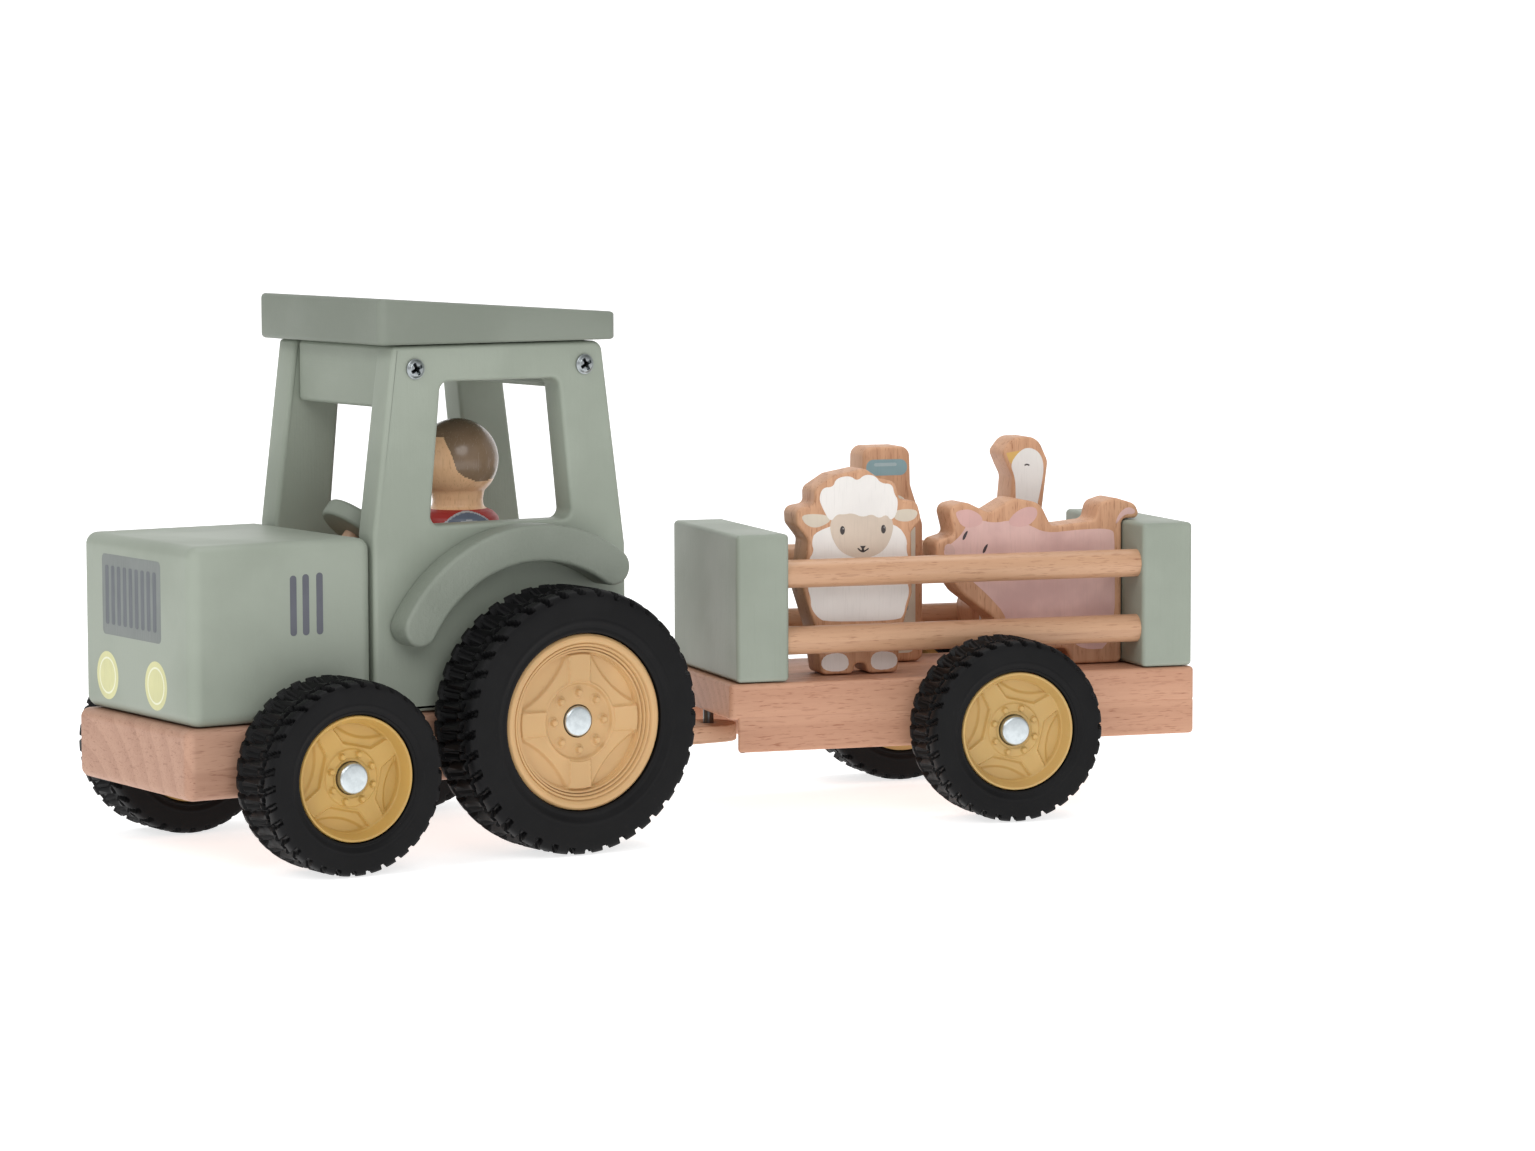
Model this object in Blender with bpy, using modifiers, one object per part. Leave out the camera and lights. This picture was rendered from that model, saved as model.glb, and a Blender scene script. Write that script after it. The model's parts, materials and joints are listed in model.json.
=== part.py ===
"""Wooden toy farm tractor with a peg driver, a hitched trailer and its four cut-out pieces of load.

Metres, +Z up.  The tractor's nose points along -Y and its left side is +X.  Everything on the
tractor is placed from a datum on its middle plane, on the ground below the hood's front face.
Everything on the trailer is placed from a datum on the hitch pin's axis, turned with the trailer.
The origin is on the ground, in the middle of the whole toy's footprint.
"""
import math

import bmesh
import bpy
from mathutils import Vector

for old_object in list(bpy.data.objects):
    bpy.data.objects.remove(old_object, do_unlink=True)

MM = 0.001
GAP = 0.3                     # between pieces that touch
PI = math.pi

# Tractor, in millimetres from its datum
CHASSIS_HALF = 33.0
CHASSIS_FRONT = -1.8
CHASSIS_REAR = 133.0
CHASSIS_LOW = 19.6
CHASSIS_TOP = 38.5
BODY_HALF = 32.5
HOOD_REAR = 53.6
HOOD_TOP = 86.2
PANEL_THICK = 9.0
PANEL_MID = BODY_HALF - PANEL_THICK / 2
CAB_INNER = BODY_HALF - PANEL_THICK - GAP
ROOF_HALF = 34.8
ROOF_FRONT, ROOF_REAR = 55.4, 128.8
ROOF_LOW = 137.1
ROOF_TOP_FRONT, ROOF_TOP_REAR = 149.6, 144.7
CAB_TOP = ROOF_LOW - GAP
LINTEL_DEPTH = 11.0
FRONT_SCREW = (67.0, 130.6)
REAR_SCREW = (119.6, 130.5)
SEAT_TOP = 60.0
DRIVER_Y = 98.3
STEERING_AT = Vector((0.0, 67.0, 86.0))
STEERING_TILT = math.radians(40.0)

# Wheels: axle place, tyre radius, rim radius, plane of the rim's outer lip, depth of the cap in it
AXLE_R = 2.0
TYRE_WIDTH = 21.5
TYRE_PROUD = 1.1
FRONT_WHEEL = {"y": 35.0, "radius": 25.8, "rim": 16.8, "plane": 57.1, "cap": 1.0}
REAR_WHEEL = {"y": 103.8, "radius": 36.0, "rim": 23.9, "plane": 57.8, "cap": 2.5}
TRAILER_WHEEL = {"y": 73.1, "radius": 25.8, "rim": 16.8, "plane": 56.6, "cap": 1.0}

# Trailer, in millimetres from the hitch pin's axis, y along the trailer
HITCH_Y = 180.3
TRAILER_YAW = math.radians(15.06)
BED_HALF = 30.1
BED_FRONT, BED_REAR = -3.1, 138.4
BED_LOW, BED_TOP = 19.5, 39.0
LIP_LOW = 28.9
RECESS_R = 36.4
RECESS_Y = -22.9
FRONT_BOARD = (-1.0, 14.5)
REAR_BOARD = (122.1, 137.6)
BOARD_TOP = 80.9
RAIL_R = 4.0
RAIL_X = 25.0
RAIL_Z = {"lower": 50.3, "upper": 69.2}
RAIL_LET_IN = 3.0
PIN_R = 1.5
TONGUE_LOW, TONGUE_TOP = 19.9, 24.9
TONGUE_HALF = 8.0
TONGUE_FRONT = 105.0
CUTOUT_THICK = 12.0
SIDES = (("left", 1), ("right", -1))
TONGUE_SCREWS = (113.0, 126.0)
BOARD_SCREWS = [(x, y) for x in (-24.0, 24.0) for y in (8.0, 130.0)]
FLOOR = BED_TOP + GAP

# The whole toy's footprint, worked out from its outermost pieces
COS_YAW, SIN_YAW = math.cos(TRAILER_YAW), math.sin(TRAILER_YAW)
WHEEL_FRONT_FACE = TRAILER_WHEEL["plane"] - 1.5
RIGHTMOST = -(REAR_WHEEL["plane"] + TYRE_PROUD)
LEFTMOST = (TRAILER_WHEEL["y"] + TRAILER_WHEEL["radius"]) * SIN_YAW + WHEEL_FRONT_FACE * COS_YAW
REARMOST = HITCH_Y + BED_REAR * COS_YAW + BED_HALF * SIN_YAW
ORIGIN_X = (RIGHTMOST + LEFTMOST) / 2
ORIGIN_Y = (CHASSIS_FRONT + REARMOST) / 2

toy = bpy.data.collections.new("toy_tractor")
cutters = bpy.data.collections.new("cutters")
for new_collection in (toy, cutters):
    bpy.context.scene.collection.children.link(new_collection)


def paint(name, colour, roughness=0.5, metallic=0.0):
    """A plain Principled material of one colour."""
    material = bpy.data.materials.get(name)
    if material is None:
        material = bpy.data.materials.new(name)
        material.use_nodes = True
        shader = material.node_tree.nodes["Principled BSDF"]
        shader.inputs["Base Color"].default_value = (*colour, 1.0)
        shader.inputs["Roughness"].default_value = roughness
        shader.inputs["Metallic"].default_value = metallic
        material.diffuse_color = (*colour, 1.0)
    return material


SAGE = ((0.33, 0.40, 0.31), 0.5)
BEECH = ((0.62, 0.37, 0.20), 0.6)
MUSTARD = ((0.67, 0.45, 0.15), 0.4)
PEACH = ((0.72, 0.45, 0.21), 0.4)
BLACK = ((0.02, 0.02, 0.02), 0.7)
STEEL = ((0.65, 0.65, 0.66), 0.3, 1.0)
RED = ((0.55, 0.10, 0.08), 0.5)
WOOL = ((0.80, 0.78, 0.72), 0.6)
PINK = ((0.75, 0.42, 0.38), 0.6)


def empty(name, location, turn=0.0, parent=None):
    """A datum that pieces hang from."""
    datum = bpy.data.objects.new(name, None)
    datum.location = Vector(location) * MM
    datum.rotation_euler = (0.0, 0.0, turn)
    datum.parent = parent
    toy.objects.link(datum)
    return datum


tractor = empty("tractor_datum", (-ORIGIN_X, -ORIGIN_Y, 0.0))
trailer = empty("trailer_datum", (0.0, HITCH_Y, 0.0), -TRAILER_YAW, tractor)


def add(name, mesh, look, location=(0, 0, 0), turn=(0, 0, 0), parent=tractor):
    """A named piece with its own material, or a hidden cutter when there is no look."""
    piece = bpy.data.objects.new(name, mesh)
    piece.location = Vector(location) * MM
    piece.rotation_euler = turn
    piece.parent = parent
    if look is None:
        cutters.objects.link(piece)
        piece.hide_render = True
        piece.display_type = "WIRE"
    else:
        mesh.materials.clear()
        mesh.materials.append(paint(name, *look))
        toy.objects.link(piece)
    return piece


def box(name, low, high, look, parent=tractor):
    """A rectangular block between two corners, its origin at its middle."""
    mesh = bpy.data.meshes.new(name)
    shape = bmesh.new()
    bmesh.ops.create_cube(shape, size=1.0)
    low, high = Vector(low), Vector(high)
    bmesh.ops.scale(shape, vec=(high - low) * MM, verts=shape.verts)
    shape.to_mesh(mesh)
    shape.free()
    return add(name, mesh, look, (low + high) / 2, parent=parent)


def rod(name, radius, start, end, look, steps=24, parent=tractor):
    """A round bar between two points, its origin at its middle."""
    mesh = bpy.data.meshes.new(name)
    shape = bmesh.new()
    start, end = Vector(start), Vector(end)
    along = end - start
    bmesh.ops.create_cone(shape, cap_ends=True, segments=steps, radius1=radius * MM,
                          radius2=radius * MM, depth=along.length * MM)
    shape.to_mesh(mesh)
    shape.free()
    mesh.shade_smooth()
    mesh.set_sharp_from_angle(angle=math.radians(40))
    turn = along.to_track_quat("Z", "Y").to_euler()
    return add(name, mesh, look, (start + end) / 2, turn, parent)


def turned(name, profile, look, location, turn, steps, ring=False, parent=tractor):
    """A turned piece: a (radius, height) profile that runs down its outer side, spun about Z."""
    mesh = bpy.data.meshes.new(name)
    points = [(radius * MM, 0.0, height * MM) for radius, height in profile]
    edges = [(i, i + 1) for i in range(len(points) - 1)]
    if ring:
        edges.append((len(points) - 1, 0))
    mesh.from_pydata(points, edges, [])
    piece = add(name, mesh, look, location, turn, parent)
    spin = piece.modifiers.new("spin", "SCREW")
    spin.steps = steps
    spin.render_steps = steps
    spin.use_merge_vertices = True
    spin.merge_threshold = 0.00001
    spin.use_smooth_shade = True
    return piece


def rounded(corners, steps=3):
    """Points of a closed outline from (x, y, radius) corners, each radius an arc of a few steps."""
    points = []
    count = len(corners)
    for i, (x, y, radius) in enumerate(corners):
        corner = Vector((x, y))
        before = Vector(corners[i - 1][:2]) - corner
        after = Vector(corners[(i + 1) % count][:2]) - corner
        if radius <= 0:
            points.append(corner)
            continue
        half = before.angle(after) / 2
        reach = min(radius / math.tan(half), 0.48 * before.length, 0.48 * after.length)
        radius = reach * math.tan(half)
        middle = corner + (before.normalized() + after.normalized()).normalized() * radius / math.sin(half)
        first = corner + before.normalized() * reach - middle
        last = corner + after.normalized() * reach - middle
        swing = first.angle_signed(last)
        for step in range(steps + 1):
            turn = -swing * step / steps
            arc = Vector((first.x * math.cos(turn) - first.y * math.sin(turn),
                          first.x * math.sin(turn) + first.y * math.cos(turn)))
            points.append(middle + arc)
    return points


def plate(name, outlines, thick, look, location, turn, parent=tractor):
    """A flat piece cut to closed outlines, the later ones holes in the first, made a mesh."""
    curve = bpy.data.curves.new(name, "CURVE")
    curve.dimensions = "2D"
    curve.fill_mode = "BOTH"
    curve.extrude = thick / 2 * MM
    for outline in outlines:
        spline = curve.splines.new("POLY")
        spline.points.add(len(outline) - 1)
        for point, place in zip(spline.points, outline):
            point.co = (place[0] * MM, place[1] * MM, 0.0, 1.0)
        spline.use_cyclic_u = True
    drawn = bpy.data.objects.new(name + "_outline", curve)
    bpy.context.scene.collection.objects.link(drawn)
    bpy.context.view_layer.update()
    evaluated = drawn.evaluated_get(bpy.context.evaluated_depsgraph_get())
    mesh = bpy.data.meshes.new_from_object(evaluated)
    bpy.data.objects.remove(drawn, do_unlink=True)
    bpy.data.curves.remove(curve)
    shape = bmesh.new()
    shape.from_mesh(mesh)
    bmesh.ops.remove_doubles(shape, verts=shape.verts, dist=0.00001)
    bmesh.ops.recalc_face_normals(shape, faces=shape.faces)
    shape.to_mesh(mesh)
    shape.free()
    mesh.name = name
    return add(name, mesh, look, location, turn, parent)


UPRIGHT = (PI / 2, 0.0, PI / 2)       # outline x runs along Y, outline y up, thickness along X


def bevel(piece, width, segments=1, angle=50):
    """Rounded or chamfered edges."""
    edge = piece.modifiers.new("edges", "BEVEL")
    edge.width = width * MM
    edge.segments = segments
    edge.limit_method = "ANGLE"
    edge.angle_limit = math.radians(angle)
    return piece


def cut(piece, *tools):
    """Take the cutters' shapes out of the piece."""
    for tool in tools:
        hole = piece.modifiers.new("cut_" + tool.name, "BOOLEAN")
        hole.operation = "DIFFERENCE"
        hole.solver = "EXACT"
        hole.object = tool


def bore(name, radius, start, end, parent=tractor, steps=20):
    """A round cutter, one gap wider than the bar that goes in it."""
    return rod(name, radius + GAP, start, end, None, steps, parent)


def screws(names, places, direction, head_r, head_thick, shank_r, reach, parent=tractor):
    """Like screws, each a turned head and shank that point along one direction."""
    profile = [(0, 0), (head_r * 0.8, 0), (head_r, -head_thick * 0.5), (head_r, -head_thick),
               (shank_r, -head_thick), (shank_r, -reach), (0, -reach)]
    turn = Vector(direction).to_track_quat("-Z", "Y").to_euler()
    for name, place in zip(names, places):
        turned(name, profile, STEEL, place, turn, 12, False, parent)


def chassis():
    """The beech block: a bore for the front axle, a slot from above for the rear one."""
    block = bevel(box("chassis_block", (-CHASSIS_HALF, CHASSIS_FRONT, CHASSIS_LOW),
                      (CHASSIS_HALF, CHASSIS_REAR, CHASSIS_TOP), BEECH), 2.5, 2)
    front = FRONT_WHEEL["radius"]
    rear = REAR_WHEEL["radius"]
    slot_half = AXLE_R + GAP
    cut(block,
        bore("front_axle_bore", AXLE_R, (-50, FRONT_WHEEL["y"], front), (50, FRONT_WHEEL["y"], front)),
        box("rear_axle_slot", (-50, REAR_WHEEL["y"] - slot_half, rear - slot_half),
            (50, REAR_WHEEL["y"] + slot_half, CHASSIS_TOP + 5), None),
        box("tongue_rebate", (-TONGUE_HALF - GAP, TONGUE_FRONT - GAP, CHASSIS_LOW - 5),
            (TONGUE_HALF + GAP, CHASSIS_REAR + 5, TONGUE_TOP + GAP), None),
        *[bore(f"tongue_screw_bore_{y:.0f}", 1.4, (0, y, 20), (0, y, 33 + GAP)) for y in TONGUE_SCREWS])


def hood():
    """The painted block in front of the cab."""
    block = box("hood_block", (-BODY_HALF, 0.0, CHASSIS_TOP + GAP), (BODY_HALF, HOOD_REAR, HOOD_TOP), SAGE)
    bevel(block, 3.3, 3)


def cab_panels():
    """Two side panels, each with a trapezoid window, and two holes for the lintel screws."""
    outline = rounded([(54.1, CHASSIS_TOP + GAP, 0), (54.1, 86.7, 2), (60.5, CAB_TOP, 1),
                       (125.3, CAB_TOP, 3), (132.6, 80.9, 6), (132.8, CHASSIS_TOP + GAP, 1)])
    window = rounded([(75.1, 127.0, 2.7), (111.8, 127.0, 2.7), (115.7, 88.5, 2.7), (71.5, 88.5, 2.7)])
    for side, sign in (("left", 1), ("right", -1)):
        panel = plate(f"cab_side_{side}", [outline, window], PANEL_THICK, SAGE,
                      (sign * PANEL_MID, 0, 0), UPRIGHT)
        bevel(panel, 0.9)
        for name, place in (("front", FRONT_SCREW), ("rear", REAR_SCREW)):
            cut(panel, bore(f"{name}_panel_bore_{side}", 1.4, (sign * 15, *place),
                            (sign * 45, *place), steps=12))


def lintels():
    """The two battens under the roof, bored at both ends for the screws."""
    for name, place, low in (("front", FRONT_SCREW, 120.0), ("rear", REAR_SCREW, 124.0)):
        y = place[0]
        lintel = box(f"{name}_lintel", (-CAB_INNER, y - LINTEL_DEPTH / 2, low),
                     (CAB_INNER, y + LINTEL_DEPTH / 2, CAB_TOP), SAGE)
        bevel(lintel, 1.0)
        cut(lintel, *[bore(f"{name}_lintel_bore_{sign}", 1.4, (sign * (15 - GAP), *place),
                           (sign * 45, *place), steps=12) for sign in (1, -1)])
    for side, sign in SIDES:
        places = [(sign * (BODY_HALF + 1.3), *place) for place in (FRONT_SCREW, REAR_SCREW)]
        names = [f"cab_screw_{end}_{side}" for end in ("front", "rear")]
        screws(names, places, (-sign, 0, 0), 2.7, 1.0, 1.4, 18.8)


def roof():
    """A wedge, thick at the front, with rounded corners."""
    corners = [(-ROOF_HALF, ROOF_FRONT, 4), (ROOF_HALF, ROOF_FRONT, 4),
               (ROOF_HALF, ROOF_REAR, 4), (-ROOF_HALF, ROOF_REAR, 4)]
    board = plate("roof", [rounded(corners)], ROOF_TOP_FRONT - ROOF_LOW, SAGE,
                  (0, 0, (ROOF_TOP_FRONT + ROOF_LOW) / 2), (0, 0, 0))
    fall = (ROOF_TOP_FRONT - ROOF_TOP_REAR) / (ROOF_REAR - ROOF_FRONT)
    for vert in board.data.vertices:
        if vert.co.z > 0:
            vert.co.z -= (vert.co.y - ROOF_FRONT * MM) * fall
    bevel(board, 1.2, 2)


def fenders():
    """Arc pieces of board over the rear wheels, with half-round ends."""
    middle_y, middle_z, inner, outer = 99.5, 41.8, 36.3, 46.4
    start, end = math.radians(54.6), math.radians(150.6)
    end_r = (outer - inner) / 2
    centre = (outer + inner) / 2

    def at(radius, angle, from_y=middle_y, from_z=middle_z):
        return (from_y + radius * math.cos(angle), from_z + radius * math.sin(angle))

    sweep = [start + (end - start) * i / 14 for i in range(15)]
    tip, tail = at(centre, end), at(centre, start)
    outline = [at(outer, angle) for angle in sweep]
    outline += [at(end_r, end + PI * i / 6, *tip) for i in range(1, 6)]
    outline += [at(inner, angle) for angle in reversed(sweep)]
    outline += [at(end_r, start + PI + PI * i / 6, *tail) for i in range(1, 6)]
    for side, sign in (("left", 1), ("right", -1)):
        bar = plate(f"fender_{side}", [outline], PANEL_THICK, SAGE,
                    (sign * (BODY_HALF + GAP + PANEL_THICK / 2), 0, 0), UPRIGHT)
        bevel(bar, 0.9)


def inside_cab():
    """The block that holds the steering column, the seat with its socket, and the turned driver."""
    aim = Vector((0.0, math.sin(STEERING_TILT), math.cos(STEERING_TILT)))
    foot = STEERING_AT - aim * 15
    dash = box("dash_block", (-CAB_INNER, HOOD_REAR + GAP, CHASSIS_TOP + GAP), (CAB_INNER, 66, 78), BEECH)
    bevel(dash, 1.0)
    cut(dash, bore("column_bore", 2.5, foot - aim * GAP, STEERING_AT))
    rod("steering_column", 2.5, foot, STEERING_AT + aim * 0.2, BEECH)
    disc = [(0, 2.5), (9.3, 2.5), (10.5, 1.3), (10.5, -1.3), (9.3, -2.5), (2.8, -2.5), (2.8, 0.5), (0, 0.5)]
    turned("steering_wheel", disc, SAGE, STEERING_AT, (-STEERING_TILT, 0, 0), 20)
    seat = box("seat_block", (-CAB_INNER, DRIVER_Y - 12.5, CHASSIS_TOP + GAP),
               (CAB_INNER, DRIVER_Y + 12.5, SEAT_TOP), BEECH)
    bevel(seat, 1.0)
    cut(seat, bore("driver_socket", 7.7, (0, DRIVER_Y, 52), (0, DRIVER_Y, SEAT_TOP + 5), steps=20))
    head_r, head_z = 11.35, 103.7
    head = [(head_r * math.sin(a), head_z + head_r * math.cos(a))
            for a in (math.radians(17.6 * i) for i in range(9))]
    body = [(7.0, 90.6), (7.9, 90.0), (11.6, 87.3), (12.0, 78), (12.3, 66), (12.1, SEAT_TOP + GAP),
            (7.7, SEAT_TOP + GAP), (7.7, 52.4), (0, 52.4)]
    turned("driver", head + body, RED, (0, DRIVER_Y, 0), (0, 0, 0), 20)


def wheel_pair(name, sizes, sides, rim_look, parent):
    """Tyres, rims and axle caps of one axle, and the axle rod itself."""
    axle = (sizes["y"], sizes["radius"])
    outer, rim_r, plane = sizes["radius"], sizes["rim"], sizes["plane"]
    face = plane + TYRE_PROUD
    back = face - TYRE_WIDTH
    wall = (outer + rim_r) / 2
    bead, lip = rim_r + GAP / 2, rim_r - GAP / 2
    cap_top = plane - sizes["cap"]
    hub_face = cap_top - 3.4 - GAP
    web = hub_face - 1.5
    tyre = [(bead, plane - 0.2), (wall, face), (outer - 1.6, face - 1.4), (outer, face - 3.6),
            (outer, back + 3.6), (outer - 1.6, back + 1.4), (wall, back), (bead, back + 1.4)]
    hub = AXLE_R + GAP
    rim = [(lip, plane), (lip, back + 1.4), (lip - 1.7, back + 1.4), (lip - 1.7, web - 3.2),
           (5.0, web - 3.2), (5.0, back + 1.4), (hub, back + 1.4), (hub, hub_face), (5.0, hub_face),
           (5.0, web), (lip - 2.4, web), (lip - 1.4, plane)]
    cap = [(0, cap_top), (3.2, cap_top), (4.2, cap_top - 0.9), (4.2, cap_top - 3.4), (hub, cap_top - 3.4),
           (hub, cap_top - 1.1), (0, cap_top - 1.1)]
    for side, sign in sides:
        at = (0, *axle)
        out = (0, sign * PI / 2, 0)
        turned(f"{name}_tyre_{side}", tyre, BLACK, at, out, 32, True, parent)
        turned(f"{name}_rim_{side}", rim, rim_look, at, out, 24, True, parent)
        turned(f"{name}_cap_{side}", cap, STEEL, at, out, 16, False, parent)
    end = cap_top - 1.1 - GAP
    rod(f"{name}_axle", AXLE_R, (-end, *axle), (end, *axle), STEEL, 16, parent)


def tongue():
    """The plate under the chassis's tail, its round end on the hitch pin, and its two screws."""
    ends = rounded([(-TONGUE_HALF, TONGUE_FRONT, 0), (TONGUE_HALF, TONGUE_FRONT, 0),
                    (TONGUE_HALF, HITCH_Y + TONGUE_HALF, TONGUE_HALF),
                    (-TONGUE_HALF, HITCH_Y + TONGUE_HALF, TONGUE_HALF)], 8)
    arm = plate("hitch_tongue", [ends], TONGUE_TOP - TONGUE_LOW, BEECH, (0, 0, (TONGUE_LOW + TONGUE_TOP) / 2),
                (0, 0, 0))
    cut(arm, bore("tongue_eye", PIN_R + 0.2, (0, HITCH_Y, 15), (0, HITCH_Y, 30)))
    for y in TONGUE_SCREWS:
        cut(arm, bore(f"tongue_hole_{y:.0f}", 1.4, (0, y, 15), (0, y, 30), steps=12),
            bore(f"tongue_counterbore_{y:.0f}", 2.6, (0, y, 15), (0, y, TONGUE_LOW + 1.8), steps=16))
    places = [(0, y, TONGUE_LOW + 0.3) for y in TONGUE_SCREWS]
    screws(["tongue_screw_front", "tongue_screw_rear"], places, (0, 0, 1), 2.6, 1.1, 1.4, 12.8)


def bed():
    """The trailer's board, its front cut away below in an arc so that it turns about the pin."""
    low, high = (-BED_HALF, BED_FRONT, BED_LOW), (BED_HALF, BED_REAR, BED_TOP)
    board = bevel(box("trailer_bed", low, high, BEECH, trailer), 1.5, 2)
    wheel_z = TRAILER_WHEEL["radius"]
    cut(board,
        rod("hitch_recess", RECESS_R, (0, RECESS_Y, BED_LOW - 5), (0, RECESS_Y, LIP_LOW), None, 48, trailer),
        bore("pin_bore", PIN_R, (0, 0, 20), (0, 0, 35 + GAP), trailer, 12),
        bore("trailer_axle_bore", AXLE_R, (-50, TRAILER_WHEEL["y"], wheel_z),
             (50, TRAILER_WHEEL["y"], wheel_z), trailer))
    cut(board, *[bore(f"board_screw_bore_{i}", 1.5, (x, y, 10), (x, y, 60), trailer, 12)
                 for i, (x, y) in enumerate(BOARD_SCREWS)])
    cut(board, *[bore(f"board_screw_head_{i}", 2.8, (x, y, 10), (x, y, BED_LOW + 2.2), trailer, 16)
                 for i, (x, y) in enumerate(BOARD_SCREWS)])
    rod("hitch_pin", PIN_R, (0, 0, BED_LOW), (0, 0, 35), STEEL, 12, trailer)
    names = [f"board_screw_{end}" for end in ("front_right", "rear_right", "front_left", "rear_left")]
    places = [(x, y, BED_LOW + 0.3) for x, y in BOARD_SCREWS]
    screws(names, places, (0, 0, 1), 2.8, 1.2, 1.5, 28, trailer)


def trailer_sides():
    """The two end boards and the four rails let into them."""
    for name, (start, end) in (("front_board", FRONT_BOARD), ("rear_board", REAR_BOARD)):
        board = box(name, (-BED_HALF, start, BED_TOP + GAP), (BED_HALF, end, BOARD_TOP), SAGE, trailer)
        bevel(board, 1.5, 2)
        cut(board, *[bore(f"{name}_screw_{i}", 1.5, (x, y, 30), (x, y, BED_LOW + 28.3 + GAP), trailer, 12)
                     for i, (x, y) in enumerate(BOARD_SCREWS) if start < y < end])
        ends = FRONT_BOARD[1] - RAIL_LET_IN, REAR_BOARD[0] + RAIL_LET_IN
        cut(board, *[bore(f"{name}_socket_{level}_{side}", RAIL_R, (sign * RAIL_X, ends[0], z),
                          (sign * RAIL_X, ends[1], z), trailer, 24)
                     for level, z in RAIL_Z.items() for side, sign in SIDES])
    for level, z in RAIL_Z.items():
        for side, sign in SIDES:
            rod(f"rail_{level}_{side}", RAIL_R, (sign * RAIL_X, FRONT_BOARD[1] - RAIL_LET_IN + GAP, z),
                (sign * RAIL_X, REAR_BOARD[0] + RAIL_LET_IN - GAP, z), BEECH, 24, trailer)


def cutout(name, corners, near_face, look):
    """A printed cut-out that stands across the bed, its near face at the given place."""
    at = (near_face - CUTOUT_THICK / 2, 0, 0)
    plate(name, [rounded(corners, 2)], CUTOUT_THICK, look, at, UPRIGHT, trailer)


def load():
    """The sheep, the milk bottle, the goose and the pig."""
    cutout("sheep", [(28.4, FLOOR, 1), (37.9, FLOOR, 0.5), (38.3, 42.3, 1.5), (41.7, 42.3, 1.5),
                     (42.1, FLOOR, 0.5), (51.3, FLOOR, 1), (52.2, 50, 3), (55.8, 62, 4), (55.5, 79.5, 1),
                     (58.6, 83.0, 1.5), (57.2, 88.3, 2), (52.0, 88.8, 0.5), (50.5, 94.0, 1.5),
                     (45.8, 95.0, 1), (41.5, 98.0, 2), (32.3, 96.3, 2), (26.2, 92.5, 2), (26.3, 88.0, 0.5),
                     (20.6, 87.0, 2), (20.9, 82.4, 1.5), (24.3, 78.0, 2), (22.8, 64.0, 4),
                     (26.3, 53.0, 3)], 18.0, WOOL)
    cutout("bottle", [(46.0, FLOOR, 1.5), (68.6, FLOOR, 1.5), (68.6, 79.5, 4), (64.8, 91.0, 3),
                      (64.5, 102.3, 2.5), (50.1, 102.3, 2.5), (49.8, 91.0, 3), (46.0, 79.5, 4)], -8.0, BEECH)
    cutout("goose", [(85.0, FLOOR, 1.5), (115.0, FLOOR, 1.5), (117.0, 60.0, 8), (108.0, 67.0, 6),
                     (106.0, 82.0, 6), (107.9, 97.0, 3), (104.5, 104.3, 4), (96.8, 104.1, 3),
                     (93.4, 99.8, 0.8), (95.0, 96.0, 0.8), (96.7, 92.5, 1.5), (95.5, 80.0, 4),
                     (92.0, 66.0, 8), (83.0, 56.0, 6)], -8.0, WOOL)
    cutout("pig", [(85.0, FLOOR, 1), (94.0, FLOOR, 1), (95.5, 44.0, 2), (104.5, 44.0, 1.5),
                   (106.5, FLOOR, 0.5), (121.8, FLOOR, 1), (121.8, 81.3, 0), (127.8, 81.3, 0.8),
                   (126.0, 85.5, 2), (119.5, 87.5, 3), (114.5, 86.0, 2), (113.3, 80.9, 1), (99.8, 79.6, 1),
                   (96.3, 86.5, 3), (88.0, 88.2, 4), (80.5, 84.0, 2), (73.5, 87.3, 2), (67.8, 86.3, 1.5),
                   (69.9, 77.9, 0.6), (64.1, 76.3, 1.5), (64.4, 71.3, 2), (72.0, 61.0, 4),
                   (82.2, 53.2, 3)], 15.0, PINK)


chassis()
hood()
cab_panels()
lintels()
roof()
fenders()
inside_cab()
wheel_pair("front", FRONT_WHEEL, SIDES, MUSTARD, tractor)
wheel_pair("rear", REAR_WHEEL, SIDES, PEACH, tractor)
tongue()
bed()
trailer_sides()
wheel_pair("trailer", TRAILER_WHEEL, SIDES, MUSTARD, trailer)
load()
bpy.context.view_layer.update()
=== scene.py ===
"""Painted beech toy tractor with a peg driver and a railed trailer of farm cut-outs.

Every surface is worked out with numpy in millimetres, from a datum on the tractor's middle plane or
on the trailer's hitch pin, and put in place in metres.
"""

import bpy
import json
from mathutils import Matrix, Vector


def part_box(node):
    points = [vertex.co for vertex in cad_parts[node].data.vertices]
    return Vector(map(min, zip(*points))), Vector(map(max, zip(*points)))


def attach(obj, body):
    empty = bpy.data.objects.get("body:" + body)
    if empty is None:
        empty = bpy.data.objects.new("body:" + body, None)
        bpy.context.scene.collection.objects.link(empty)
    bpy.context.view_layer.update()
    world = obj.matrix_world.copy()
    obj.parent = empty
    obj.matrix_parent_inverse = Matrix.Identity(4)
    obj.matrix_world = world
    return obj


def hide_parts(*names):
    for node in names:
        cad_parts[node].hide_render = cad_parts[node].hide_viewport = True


bl_info = {
    "name": "Toy tractor and trailer",
    "version": (1, 0, 0),
    "blender": (4, 5, 0),
    "location": "View3D > Sidebar > Toy tractor",
    "description": "Builds the toy tractor, its driver, its trailer and the load around the packed frame",
    "category": "Add Mesh",
}

import json
import math

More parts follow.
